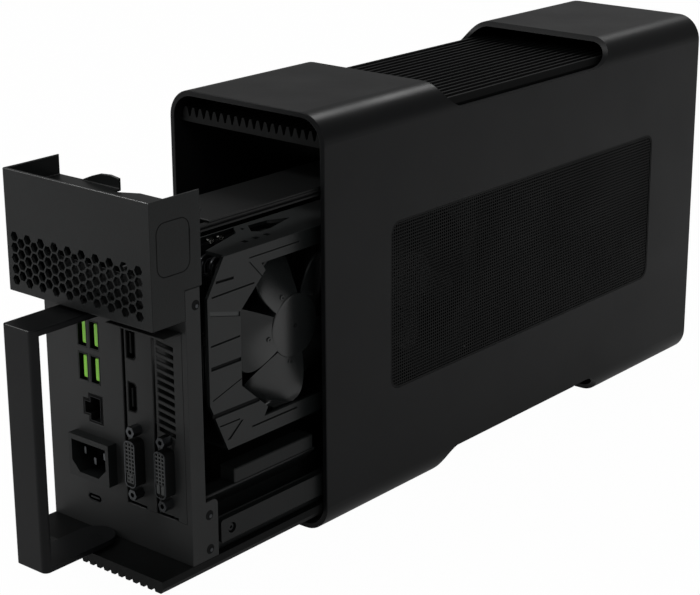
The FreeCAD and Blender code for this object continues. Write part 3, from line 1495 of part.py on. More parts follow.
def make_heatsink():
    """Heatsink under the shroud: a base plate with upright fins."""
    owner = body("heatsink_body")
    x0 = card_face
    gap = S.shroud_wall + S.seat_clear
    z0 = low + S.shroud_low + gap
    z1 = low + S.shroud_high - gap
    start = panel_y + S.shroud_start + S.shroud_slope + gap
    base = sketch(owner, "YZ_Plane", "heatsink_base_profile", x0)
    rectangle(base, start, start + S.fin_pitch * (S.fin_count - 1) + S.fin_thick, z0, z1)
    pad(owner, "heatsink_base", base, S.fin_base)
    shape = sketch(owner, "YZ_Plane", "fin_profile", x0 + S.fin_base)
    rectangle(shape, start, start + S.fin_thick, z0, z1)
    fin = pad(owner, "fin", shape, S.fin_high)
    row(owner, "fins", fin, "Y_Axis", S.fin_pitch, S.fin_count)
    keep(owner, "heatsink")


def make_fan(name, y):
    """Fan rotor on its shaft, and the motor mount with three arms that carries it."""
    motor_x = card_face + S.fin_base + S.fin_high
    rotor_x = motor_x + S.motor_thick + S.slide_clear * 2
    z = low + S.fan_z
    owner = body(f"{name}_rotor_body")
    cup = sketch(owner, "YZ_Plane", f"{name}_hub_profile", 0)
    disc(cup, 0, 0, S.fan_hub)
    pad(owner, f"{name}_hub", cup, S.fan_hub_thick)
    fillet(owner, f"{name}_hub_edge", S.blade_thick, lambda edge: near(edge.CenterOfMass.x, S.fan_hub_thick))
    shaft = sketch(owner, "YZ_Plane", f"{name}_shaft_profile", 0)
    disc(shaft, 0, 0, S.shaft_radius)
    pad(owner, f"{name}_shaft", shaft, S.motor_thick + S.slide_clear, back=True)
    sections = []
    root = S.fan_hub - 1
    span = S.fan_tip - root
    for i, (share, chord, sweep) in enumerate(((0.0, 13.0, 0.0), (0.5, 22.0, -4.0), (1.0, 26.0, 2.0))):
        radius = root + span * share
        section = sketch(owner, "XY_Plane", f"{name}_blade_{i}", radius)
        deep = S.blade_deep * (1 - 0.2 * share)
        x0 = S.fan_hub_thick - S.blade_back - deep
        x1 = x0 + deep
        t = S.blade_thick
        outline(section, [
            (x0, sweep - chord / 2), (x0 + t, sweep - chord / 2), (x1, sweep + chord / 2 - 1),
            (x1, sweep + chord / 2), (x1 - t, sweep + chord / 2), (x0, sweep - chord / 2 + 1)])
        sections.append(section)
    blade = owner.newObject("PartDesign::AdditiveLoft", f"{name}_blade")
    blade.Profile = sections[0]
    blade.Sections = sections[1:]
    doc.recompute()
    blades = owner.newObject("PartDesign::PolarPattern", f"{name}_blades")
    blades.Originals = [blade]
    blades.Axis = (origin_item(owner, "X_Axis"), [""])
    bind(blades, "Occurrences", S.blade_count)
    owner.Tip = blades
    place(owner, rotor_x, y, z)
    keep(owner, f"{name}_fan_rotor")
    mount = rod(f"{name}_motor", "x", S.motor_radius, motor_x, motor_x + S.motor_thick, y, z)
    arm = S.motor_arm / 2
    reach = S.motor_reach
    cross = box(f"{name}_arm_y", motor_x, motor_x + S.motor_thick, y - reach, y + reach, z - arm, z + arm)
    upright = box(f"{name}_arm_z", motor_x, motor_x + S.motor_thick, y - arm, y + arm, z - reach, z + reach)
    end_x = motor_x + S.motor_thick + 1
    bore = rod(f"{name}_bore", "x", S.shaft_radius + S.pin_clear, motor_x - 1, end_x, y, z)
    solid = fuse(f"{name}_mount_solid", mount, cross, upright)
    keep(cut(f"{name}_mount_cut", solid, bore), f"{name}_fan_mount")


# Screws

def screw(name, axis, face, u, v):
    """A low round screw head that sits on a face, its side along the axis given as x or z."""
    head = S.screw_head
    if axis == "x":
        return rod(name, "x", S.screw_radius, face, face + head, u, v)
    return rod(name, "z", S.screw_radius, face, face + head, u, v)


def make_screws():
    """Screw heads on the tray's right and left lugs and on the bracket's tab."""
    heads = []
    sunk = S.screw_head
    flange_y = panel_y + S.panel_flange - 3
    lug_y = panel_y + S.lug_reach - 5.8
    places = ((flange_y, low + S.bezel_step - 8.3), (lug_y, low + S.lug_high - 7.2),
              (lug_y, base_z + 5.2))
    for i, (y, z) in enumerate(places):
        heads.append(screw(f"right_head_{i}", "x", tray_half - S.sheet_thick - sunk, y, z))
        heads.append(screw(f"left_head_{i}", "x", S.sheet_thick - tray_half, y, z))
    keep(group("side_heads", *heads), "side_screws")
    tab = []
    top_face = low + S.bracket_high
    for i in range(2):
        x = S.bracket_x + S.slot_pitch * (0.45 + i)
        tab.append(screw(f"tab_head_{i}", "z", top_face, x, panel_y - S.bracket_tab / 2))
    keep(group("tab_heads", *tab), "bracket_screws")


make_sleeve()
make_mesh_panel()
make_top_panel()
make_front_cover()
make_rails()
make_feet()
make_base()
make_ports_panel()
make_bezel()
make_latch()
make_handle()
make_slide_bars()
make_pan()
make_chassis_top()
make_front_frame()
make_left_plate()
make_supply()
make_riser()
make_side_support()
make_usb()
make_jack()
make_inlet()
make_typec()
make_io_board()
make_bracket()
make_video_port("display_port", S.dp_z, S.dp_wide, S.dp_high)
make_video_port("hdmi_port", S.hdmi_z, S.hdmi_wide, S.hdmi_high)
make_dvi("left_dvi_port", S.dvi_x, card_face)
make_dvi("right_dvi_port", S.dvi_x + S.slot_pitch, S.dvi_x + S.slot_pitch - S.dvi_body_wide / 2)
make_nuts()
make_card_board()
make_shroud()
make_heatsink()
make_fan("rear", fan_y)
make_fan("front", fan_y + S.fan_pitch)
make_screws()
doc.recompute()

# Every object is checked before anything is written.
for item in doc.Objects:
    if "Invalid" in item.State or "Error" in item.State:
        raise RuntimeError(f"{item.Name} ({item.Label}) failed: {item.State}")
for item in kept:
    if item.Shape.isNull() or not item.Shape.isValid():
        raise RuntimeError(f"{item.Label} has no valid shape")
names = [item.Label for item in kept]
if len(names) != len(set(names)):
    raise RuntimeError("two nodes share a name")

os.makedirs("parts", exist_ok=True)
for item in kept:
    item.Shape.exportStep(f"parts/{item.Label}.step")
print(f"{len(kept)} nodes written")
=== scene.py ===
"""Looks of an external graphics card enclosure with its tray drawn out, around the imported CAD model.

Sizes of the pieces are in millimetres and degrees, and those of Blender and of the studio in metres.
"""

import json
import logging
import math
from dataclasses import dataclass, field
from enum import Enum
from functools import cache
from typing import Any, Sequence

import bmesh
import bpy
from mathutils import Matrix, Vector

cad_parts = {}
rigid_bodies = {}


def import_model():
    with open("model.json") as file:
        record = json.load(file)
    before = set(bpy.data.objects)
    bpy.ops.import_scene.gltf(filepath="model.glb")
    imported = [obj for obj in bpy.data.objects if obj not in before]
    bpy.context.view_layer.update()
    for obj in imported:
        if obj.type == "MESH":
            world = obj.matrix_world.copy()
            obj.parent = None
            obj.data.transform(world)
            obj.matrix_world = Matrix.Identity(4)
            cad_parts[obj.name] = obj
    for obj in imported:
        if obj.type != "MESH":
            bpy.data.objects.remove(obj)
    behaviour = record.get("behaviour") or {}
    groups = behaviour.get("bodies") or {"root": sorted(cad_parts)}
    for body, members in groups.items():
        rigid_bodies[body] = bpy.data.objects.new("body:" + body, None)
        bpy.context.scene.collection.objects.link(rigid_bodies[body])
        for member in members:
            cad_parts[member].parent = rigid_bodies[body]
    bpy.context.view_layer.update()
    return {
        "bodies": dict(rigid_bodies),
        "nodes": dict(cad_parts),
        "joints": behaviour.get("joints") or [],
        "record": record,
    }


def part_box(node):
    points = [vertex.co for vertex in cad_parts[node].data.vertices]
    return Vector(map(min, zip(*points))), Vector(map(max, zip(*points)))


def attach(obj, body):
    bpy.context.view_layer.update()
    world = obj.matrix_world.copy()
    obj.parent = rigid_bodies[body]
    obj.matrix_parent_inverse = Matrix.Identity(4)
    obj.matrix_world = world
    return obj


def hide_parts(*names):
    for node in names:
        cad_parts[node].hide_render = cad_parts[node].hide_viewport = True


MM = 0.001
CAD_WELD = 0.000002  # Points of a CAD mesh that lie closer than this, in metres, are one point.
TREE_WELD = 0.00001  # The same for a mesh from Geometry Nodes.
FLAT_WITHIN = 0.5  # Faces that meet at less, in degrees, are one face before edges are broken.
SHARP_FROM = 40.0  # Edges whose faces meet at more, in degrees, are broken.
LONG_FROM = 12.0  # Only edges longer than this many widths of the broken edge are.
SMOOTH_TO = 35.0  # Faces of a small part that meet at less, in degrees, are shaded smooth.
BROAD_MM = 45.0  # Size of the slow change in roughness over a surface.
ROUGH_CHANGE = 0.1  # Its depth.
DRAWN_STRETCH = 0.04  # How far drawn lines are stretched along Y: one over this.
LOG = logging.getLogger("enclosure")
Mesh, Node, Object = bpy.types.Mesh, bpy.types.Node, bpy.types.Object
Shape, Socket, Tree = bmesh.types.BMesh, bpy.types.NodeSocket, bpy.types.NodeTree
Point = tuple[float, float, float]
Colour = tuple[float, float, float, float]
RIGHT: Point = (1.0, 0.0, 0.0)
UP: Point = (0.0, 0.0, 1.0)


# Helpers

def linear(hex_colour: str) -> Colour:
    """Turns an sRGB hex colour into a linear one.

    Args:
        hex_colour: The colour as "#rrggbb".

    Returns:
        Red, green, blue and alpha, linear.
    """
    parts = [int(hex_colour[i:i + 2], 16) / 255 for i in (1, 3, 5)]
    low = [c / 12.92 if c <= 0.04045 else ((c + 0.055) / 1.055) ** 2.4 for c in parts]
    return (low[0], low[1], low[2], 1.0)


def mm(*values: float) -> Vector:
    """Gives a point in metres from millimetres."""
    return Vector(values) * MM


def add_node(tree: Tree, kind: str, inputs: dict[str | int, Any] | None = None, **settings: Any) -> Node:
    """Adds a node with its settings and its inputs.

    Args:
        tree: The node tree.
        kind: The node's type name.
        inputs: Input name or index to a socket, which is linked, or to a value.
        **settings: Properties to set before the inputs.

    Returns:
        The new node.
    """
    node = tree.nodes.new(kind)
    for name, value in settings.items():
        setattr(node, name, value)
    for name, value in (inputs or {}).items():
        if isinstance(value, Socket):
            tree.links.new(value, node.inputs[name])
        else:
            node.inputs[name].default_value = value
    return node


def link_object(name: str, data: bpy.types.ID) -> Object:
    """Puts a mesh, a camera or a lamp into the scene as an object at the origin.

    Args:
        name: The object's name.
        data: What it holds.

    Returns:
        The linked object.
    """
    obj = bpy.data.objects.new(name, data)
    bpy.context.collection.objects.link(obj)
    return obj


def mesh_object(name: str, points: Sequence[Point], faces: Sequence[Sequence[int]],
                runs: Sequence[tuple[int, int]] = ()) -> Object:
    """Makes an object at the origin from points in metres and faces.

    Args:
        name: The object's name.
        points: Corner points, in metres.
        faces: Lists of point numbers.
        runs: Pairs of points joined by an edge.

    Returns:
        The linked object.
    """
    mesh = bpy.data.meshes.new(name)
    mesh.from_pydata([tuple(p) for p in points], list(runs), [list(f) for f in faces])
    mesh.update()
    return link_object(name, mesh)


def smooth_by_angle(mesh: Mesh, degrees: float) -> None:
    """Shades a mesh smooth, with sharp edges where faces meet at more than an angle."""
    mesh.shade_smooth()
    mesh.set_sharp_from_angle(angle=math.radians(degrees))


def face_outwards(mesh: Mesh) -> None:
    """Turns all faces of a closed mesh outwards.

    Args:
        mesh: The mesh.
    """
    shape = bmesh.new()
    shape.from_mesh(mesh)
    bmesh.ops.recalc_face_normals(shape, faces=shape.faces)
    shape.to_mesh(mesh)
    shape.free()


def place_piece(piece: Object, body: str, slot: str, *replaced: str) -> None:
    """Fixes a finished piece to its body, and hides the CAD nodes that it stands for.

    Args:
        piece: The piece, at the origin.
        body: The CAD body that it moves with.
        slot: Not used.
        *replaced: CAD nodes that it stands for.
    """
    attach(piece, body)
    if replaced:
        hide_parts(*replaced)


# Finishes

class Grain(Enum):
    """How a surface was made, which sets the pattern of its bump."""

    BLASTED = "bead blasted, fine and even"
    POWDER = "powder coated, slight orange peel"
    MOULDED = "moulded against a sparked tool"
    POLISHED = "polished tool or plating"
    DRAWN = "drawn or rolled, fine lines along Y"


@dataclass(frozen=True)
class Finish:
    """A real surface: what it is, its colour and how its microstructure scatters light."""

    name: str
    colour: str
    roughness: float
    grain: Grain
    grain_mm: float
    depth: float = 0.15
    metallic: float = 0.0
    specular: float = 0.5
    coat: float = 0.0
    mottle: float = 0.12

    @cache
    def material(self) -> bpy.types.Material:
        """Builds the material once, and gives the same one after that.

        Returns:
            The material, with bump, roughness and a slight colour change from one set of noises.
        """
        material = bpy.data.materials.new(self.name)
        material.use_nodes = True
        tree = material.node_tree
        tree.nodes.clear()
        place = add_node(tree, "ShaderNodeTexCoord").outputs["Object"]
        if self.grain is Grain.DRAWN:
            stretch = add_node(tree, "ShaderNodeMapping", {"Vector": place, "Scale": (1.0, DRAWN_STRETCH, 1.0)})
            place = stretch.outputs["Vector"]
        fine = add_node(tree, "ShaderNodeTexNoise", {
            "Vector": place, "Scale": 1 / (self.grain_mm * MM), "Detail": 3.0, "Roughness": 0.6})
        broad = add_node(tree, "ShaderNodeTexNoise", {
            "Vector": place, "Scale": 1 / (BROAD_MM * MM), "Detail": 4.0, "Roughness": 0.55})
        rough = add_node(tree, "ShaderNodeMapRange", {
            "Value": broad.outputs[0], "From Min": 0.3, "From Max": 0.7,
            "To Min": self.roughness * (1 - ROUGH_CHANGE),
            "To Max": min(1.0, self.roughness * (1 + ROUGH_CHANGE))})
        base = linear(self.colour)
        darker = tuple(c * (1 - self.mottle) for c in base[:3]) + (1.0,)
        lighter = tuple(min(1.0, c * (1 + self.mottle)) for c in base[:3]) + (1.0,)
        shade = add_node(tree, "ShaderNodeMix", {
            0: fine.outputs[0], 6: darker, 7: lighter}, data_type="RGBA")
        bump = add_node(tree, "ShaderNodeBump", {
            "Height": fine.outputs[0], "Strength": self.depth, "Distance": self.grain_mm * MM * 0.5})
        shader = add_node(tree, "ShaderNodeBsdfPrincipled", {
            "Base Color": shade.outputs[2], "Roughness": rough.outputs[0], "Normal": bump.outputs[0],
            "Metallic": self.metallic, "Specular IOR Level": self.specular, "Coat Weight": self.coat})
        add_node(tree, "ShaderNodeOutputMaterial", {"Surface": shader.outputs[0]})
        return material


# Anodised aluminium, blasted and dyed black: a soft even sheen, a little brighter at a glance.
ANODISED = Finish("black_anodised_aluminium", "#0c0d0e", 0.38, Grain.BLASTED, 0.35, 0.08, 0.0, 0.13)
# Powder coat on folded steel: a slightly rougher black with a faint orange peel.
POWDER = Finish("black_powder_coat", "#101212", 0.4, Grain.POWDER, 0.9, 0.14, 0.0, 0.2)
# Painted steel of the connector panel: a little greyer than the housings round it.
PANEL_PAINT = Finish("dark_grey_panel_paint", "#1f2020", 0.5, Grain.POWDER, 0.7, 0.1, 0.0, 0.25)
# Clear lacquer over folded and milled edges: a thin bright line where light meets it.
LACQUER = Finish("lacquered_edge", "#1a1b1b", 0.16, Grain.POLISHED, 0.8, 0.03, 0.0, 0.6)
# The same coat inside the case, where it stays thin and dull.
INNER_COAT = Finish("thin_inner_powder_coat", "#0e0f0f", 0.5, Grain.POWDER, 0.9, 0.12, 0.0, 0.22)
# Perforated steel, painted: as the sleeve, but duller. On the base plate it is painted shade: darker than the
# plate's own metal, which lies in shade. The ribbed top panel wears it too.
MESH_PAINT_AND_SHADE = Finish("black_mesh_paint_and_painted_shade", "#070808", 0.5, Grain.POWDER, 0.8, 0.08, 0.0, 0.1)
# ABS from a sparked mould: matte, broad highlights.
MATTE_ABS = Finish("black_moulded_abs", "#0a0b0b", 0.58, Grain.MOULDED, 0.5, 0.2, 0.0, 0.25)
# ABS with a smoother texture, as on the card's shroud.
SATIN_ABS = Finish("dark_satin_abs", "#161818", 0.36, Grain.MOULDED, 0.6, 0.08, 0.0, 0.3)
# The same plastic in grooves and openings, where its texture is coarse and it has less gloss. On the floors of the
# shroud's grooves, in the screw wells and on the fan's centre it is painted shade.
DULL_ABS_AND_SHADE = Finish("dull_black_abs_and_painted_shade", "#0a0b0b", 0.62, Grain.MOULDED, 0.5, 0.15, 0.0, 0.08)
# Upward faces inside the case, painted lighter as if the coat's sheen were lit from the open side: painted light.
ROOF_PAINTED_LIGHT = Finish("satin_coat_painted_light", "#353737", 0.5, Grain.MOULDED, 0.7, 0.08, 0.0, 0.3)
# The same moulding with a polished grain, painted lighter as it looks at the camera's angle: a painted highlight
# on one groove of the shroud.
ABS_PAINTED_HIGHLIGHT = Finish("abs_painted_highlight", "#242727", 0.3, Grain.POLISHED, 0.8, 0.05, 0.0, 0.4)
# Fan blades of glass-filled PBT from a polished tool: clear glints along their curves.
GLOSS_PBT = Finish("black_glossy_pbt", "#191b1b", 0.24, Grain.POLISHED, 1.2, 0.03, 0.0, 0.6)
# Silicone rubber feet: no gloss.
RUBBER = Finish("black_silicone_rubber", "#0c0c0c", 0.8, Grain.MOULDED, 0.6, 0.2, 0.0, 0.2)
# Circuit board under black solder mask: smooth and slightly wet.
SOLDER_MASK = Finish("black_solder_mask", "#0c0f0e", 0.35, Grain.POLISHED, 1.5, 0.08, 0.0, 0.4, 0.2)
# Coloured connector plastic, painted brighter than its own green to stand for the light from inside: painted
# light.
GREEN_LCP_PAINTED_LIGHT = Finish("green_connector_plastic_painted_light", "#8bd63c", 0.4, Grain.MOULDED, 0.5, 0.08, 0.0, 0.5)
# Plated steel shells of the connectors.
PLATED = Finish("plated_connector_steel", "#4c4e50", 0.32, Grain.DRAWN, 0.4, 0.08, 1.0, 0.5)
# Nickel on the screws that clamp the fins: bright along their crowns.
NICKEL = Finish("nickel_plated_copper", "#8f8f8b", 0.24, Grain.DRAWN, 0.5, 0.06, 1.0, 0.5)
# Black oxide on steel shells, screws and heat pipes: dark metal with a slight sheen.
OXIDE = Finish("black_oxide_steel", "#2b2c2d", 0.3, Grain.BLASTED, 0.3, 0.08, 0.9, 0.5)
# Anodised aluminium fins.
FINS = Finish("dark_anodised_fins", "#111213", 0.42, Grain.DRAWN, 0.4, 0.1, 0.2, 0.2)
# Pierced front of the wide video ports: nylon, greyer than what lies round it.
GREY_NYLON = Finish("light_grey_nylon", "#303232", 0.5, Grain.MOULDED, 0.5, 0.1, 0.0, 0.4)
# Gold flash on the contacts.
GOLD = Finish("gold_flashed_contacts", "#b08d3c", 0.3, Grain.POLISHED, 0.8, 0.05, 1.0, 0.5)


# Camera, floor and light

@dataclass
class Studio:
    """Plain pale studio around the object, with the camera where the photograph was taken."""

    azimuth: float = 38.984
    elevation: float = 17.388
    roll: float = 0.161
    distance_mm: float = 1051.414
    target_mm: Point = (0.0, 15.0, 111.0)
    focal_px: float = 1879.094
    shift_px: tuple[float, float] = (45.984, -40.158)
    width_px: float = 700.0
    sensor_mm: float = 36.0
    floor_share: float = 0.985
    mirror_share: float = 0.25
    surround: float = 0.4
    floor_reach: float = 6.0
    floor_level: float = -0.0002
    floor_colour: str = "#e9e9e9"
    # Each lamp's name, place, aim, side and power in watts.
    lamps: tuple[tuple[str, Point, Point, float, float], ...] = (
        ("soft_top", (-1.1, -0.77, 1.57), (0.0, -0.2, 0.18), 0.45, 10.0),
        ("soft_left", (-1.3, -1.5, 0.8), (0.0, -0.1, 0.1), 1.0, 7.0),
        ("soft_right", (1.8, -0.8, 1.2), (0.0, 0.0, 0.1), 1.0, 5.5),
        ("rim", (-0.3, 1.6, 1.64), (0.0, 0.1, 0.2), 0.5, 9.0))

    def camera(self) -> None:
        """Makes the camera that was fitted to the photograph's outline."""
        turn = math.radians(self.azimuth)
        lift = math.radians(self.elevation)
        back = Vector((math.sin(turn) * math.cos(lift), -math.cos(turn) * math.cos(lift), math.sin(lift)))
        right = Vector((0, 0, 1)).cross(back).normalized()
        up = back.cross(right)
        roll = math.radians(self.roll)
        side = right * math.cos(roll) + up * math.sin(roll)
        top = up * math.cos(roll) - right * math.sin(roll)
        data = bpy.data.cameras.new("camera")
        data.sensor_fit = "HORIZONTAL"
        data.sensor_width = self.sensor_mm
        data.lens = self.focal_px * self.sensor_mm / self.width_px
        data.shift_x = -self.shift_px[0] / self.width_px
        data.shift_y = self.shift_px[1] / self.width_px
        obj = link_object("camera", data)
        turned = Matrix((side, top, back)).transposed().to_4x4()
        spot = mm(*self.target_mm) + back * self.distance_mm * MM
        obj.matrix_world = Matrix.Translation(spot) @ turned
        bpy.context.scene.camera = obj

    def floor(self) -> None:
        """Makes the pale floor, which reads white to the camera and keeps a soft shadow."""
        reach, level = self.floor_reach, self.floor_level
        points = [(u * reach, v * reach, level) for u, v in ((-1, -1), (1, -1), (1, 1), (-1, 1))]
        material = bpy.data.materials.new("studio_floor")
        material.use_nodes = True
        tree = material.node_tree
        tree.nodes.clear()
        matte = add_node(tree, "ShaderNodeBsdfDiffuse", {"Color": linear(self.floor_colour)})
        glow = add_node(tree, "ShaderNodeEmission", {"Color": (1, 1, 1, 1), "Strength": 1.0})
        share = self.background_share(tree, self.floor_share, 0.0)
        mixed = add_node(tree, "ShaderNodeMixShader", {
            0: share, 1: matte.outputs[0], 2: glow.outputs[0]})
        add_node(tree, "ShaderNodeOutputMaterial", {"Surface": mixed.outputs[0]})
        floor = mesh_object("floor", points, [(0, 1, 2, 3)])
        floor.data.materials.append(material)

    def background_share(self, tree: Tree, seen: float, otherwise: float) -> Socket:
        """Gives how white the background is for the ray that meets it.

        Args:
            tree: The floor's or the world's tree.
            seen: The value for the camera.
            otherwise: The value for light that falls on the object.

        Returns:
            The value, which for mirrored and refracted rays lies between the two.
        """
        path = add_node(tree, "ShaderNodeLightPath")
        bent = add_node(tree, "ShaderNodeMath", {
            0: path.outputs["Is Glossy Ray"], 1: path.outputs["Is Transmission Ray"]}, operation="MAXIMUM")
        mirrored = add_node(tree, "ShaderNodeMapRange", {
            "Value": bent.outputs[0], "To Min": otherwise, "To Max": self.mirror_share * seen})
        level = add_node(tree, "ShaderNodeMix", {
            0: path.outputs["Is Camera Ray"], 2: mirrored.outputs[0], 3: seen}, data_type="FLOAT")
        return level.outputs[0]

    def world(self) -> None:
        """Makes an even grey surround that reads white to the camera."""
        world = bpy.data.worlds.new("studio")
        world.use_nodes = True
        tree = world.node_tree
        tree.nodes.clear()
        level = self.background_share(tree, 1.0, self.surround)
        shade = add_node(tree, "ShaderNodeBackground", {"Color": (1, 1, 1, 1), "Strength": level})
        add_node(tree, "ShaderNodeOutputWorld", {"Surface": shade.outputs[0]})
        bpy.context.scene.world = world

    def lamp(self, name: str, spot: Point, aim: Point, size: float, power: float) -> None:
        """Adds a square soft box.

        Args:
            name: The lamp's name.
            spot: Its place, in metres.
            aim: The point it faces, in metres.
            size: Its side, in metres.
            power: Its power, in watts.
        """
        data = bpy.data.lights.new(name, "AREA")
        data.shape = "SQUARE"
        data.size = size
        data.energy = power
        obj = link_object(name, data)
        obj.location = spot
        obj.rotation_euler = (Vector(aim) - Vector(spot)).to_track_quat("-Z", "Y").to_euler()

    def build(self) -> None:
        """Makes the camera, the floor, the surround and the soft boxes."""
        self.camera()
        self.floor()
        self.world()
        for row in self.lamps:
            self.lamp(*row)


# Plain shapes

def from_bmesh(name: str, shape: Shape, finish: Finish, smooth: bool = False) -> Object:
    """Turns a bmesh into an object at the origin.

    Args:
        name: The object's name.
        shape: The shape, in metres. It is freed.
        finish: The finish of all faces.
        smooth: True to shade by angle.

    Returns:
        The linked object.
    """
    mesh = bpy.data.meshes.new(name)
    shape.to_mesh(mesh)
    shape.free()
    mesh.materials.append(finish.material())
    if smooth:
        smooth_by_angle(mesh, SMOOTH_TO)
    return link_object(name, mesh)


def add_block(shape: Shape, low: Vector, high: Vector, bevel: float) -> None:
    """Adds a block between two corners to a bmesh, with its edges rounded.

    Args:
        shape: The bmesh.
        low: The lowest corner, in metres.
        high: The highest corner, in metres.
        bevel: The edge radius, in millimetres.
    """
    scale = Matrix.Diagonal((*(high - low), 1.0))
    made = bmesh.ops.create_cube(shape, size=1.0, matrix=Matrix.Translation((low + high) / 2) @ scale)
    edges = {edge for vert in made["verts"] for edge in vert.link_edges}
    bmesh.ops.bevel(shape, geom=list(edges), offset=bevel * MM, segments=2, affect="EDGES", profile=0.6)


def ring_between(name: str, loops: Sequence[Sequence[Point]], finish: Finish) -> Object:
    """Joins loops of equal length into one closed ring, the last one back to the first.

    Args:
        name: The object's name.
        loops: Loops of points, in metres.
        finish: The finish.

    Returns:
        The ring, with its faces outwards.
    """
    count = len(loops[0])
    faces = []
    for k in range(len(loops)):
        a = k * count
        b = ((k + 1) % len(loops)) * count
        faces += [(a + i, b + i, b + (i + 1) % count, a + (i + 1) % count) for i in range(count)]
    ring = mesh_object(name, [point for loop in loops for point in loop], faces)
    ring.data.materials.append(finish.material())
    face_outwards(ring.data)
    return ring


def round_loop(wide: float, tall: float, radius: float, steps: int = 8) -> list[tuple[float, float]]:
    """Gives the outline of a rectangle with round corners, centred on zero.

    Args:
        wide: Half of its width.
        tall: Half of its height.
        radius: The corner radius.
        steps: Runs in each corner.

    Returns:
        Points against the clock.
    """
    loop = []
    for i, (su, sv) in enumerate(((1, 1), (-1, 1), (-1, -1), (1, -1))):
        for step in range(steps + 1):
            angle = math.radians(90 * (i + step / steps))
            loop.append((su * (wide - radius) + radius * math.cos(angle),
                         sv * (tall - radius) + radius * math.sin(angle)))
    return loop


def round_ring(name: str, finish: Finish, middle: Sequence[float], half: tuple[float, float], corner: float,
               section: Sequence[tuple[float, float]], axis: int) -> Object:
    """Makes a ring round a rectangle with round corners.

    Args:
        name: The object's name.
        finish: The finish.
        middle: The rectangle's middle, in millimetres.
        half: Half of its width and of its height, in millimetres.
        corner: Its corner radius, in millimetres.
        section: Points of the ring's section, in millimetres: how far outside the rectangle, and along the axis.
        axis: The axis that the ring faces: 0 for X, 1 for Y.

    Returns:
        The ring.
    """
    loops = []
    for grow, along in section:
        flat = round_loop(half[0] + grow, half[1] + grow, corner + grow)
        steps = [(along, u, v) if axis == 0 else (u, along, v) for u, v in flat]
        loops.append([mm(*(c + d for c, d in zip(middle, step))) for step in steps])
    return ring_between(name, loops, finish)


def eased_copy(node: Object, width: float, finish: Finish) -> Object:
    """Copies a CAD node with its long sharp edges broken, as bends, cuts and mould edges really are.

    Args:
        node: The CAD node, which is left alone.
        width: The width of the broken edge, in millimetres.
        finish: The finish.

    Returns:
        The copy, at the origin.
    """
    shape = bmesh.new()
    shape.from_mesh(node.data)
    bmesh.ops.remove_doubles(shape, verts=shape.verts, dist=CAD_WELD)
    bmesh.ops.dissolve_limit(shape, angle_limit=math.radians(FLAT_WITHIN), verts=shape.verts,
                            edges=shape.edges)
    shortest = LONG_FROM * width * MM
    sharp = [edge for edge in shape.edges if edge.is_manifold and edge.calc_length() > shortest
             and edge.calc_face_angle() > math.radians(SHARP_FROM)]
    bmesh.ops.bevel(shape, geom=sharp, offset=width * MM, segments=1, affect="EDGES", profile=0.5,
                    clamp_overlap=False, loop_slide=True)
    return from_bmesh(node.name + "_eased", shape, finish)


# Geometry Nodes

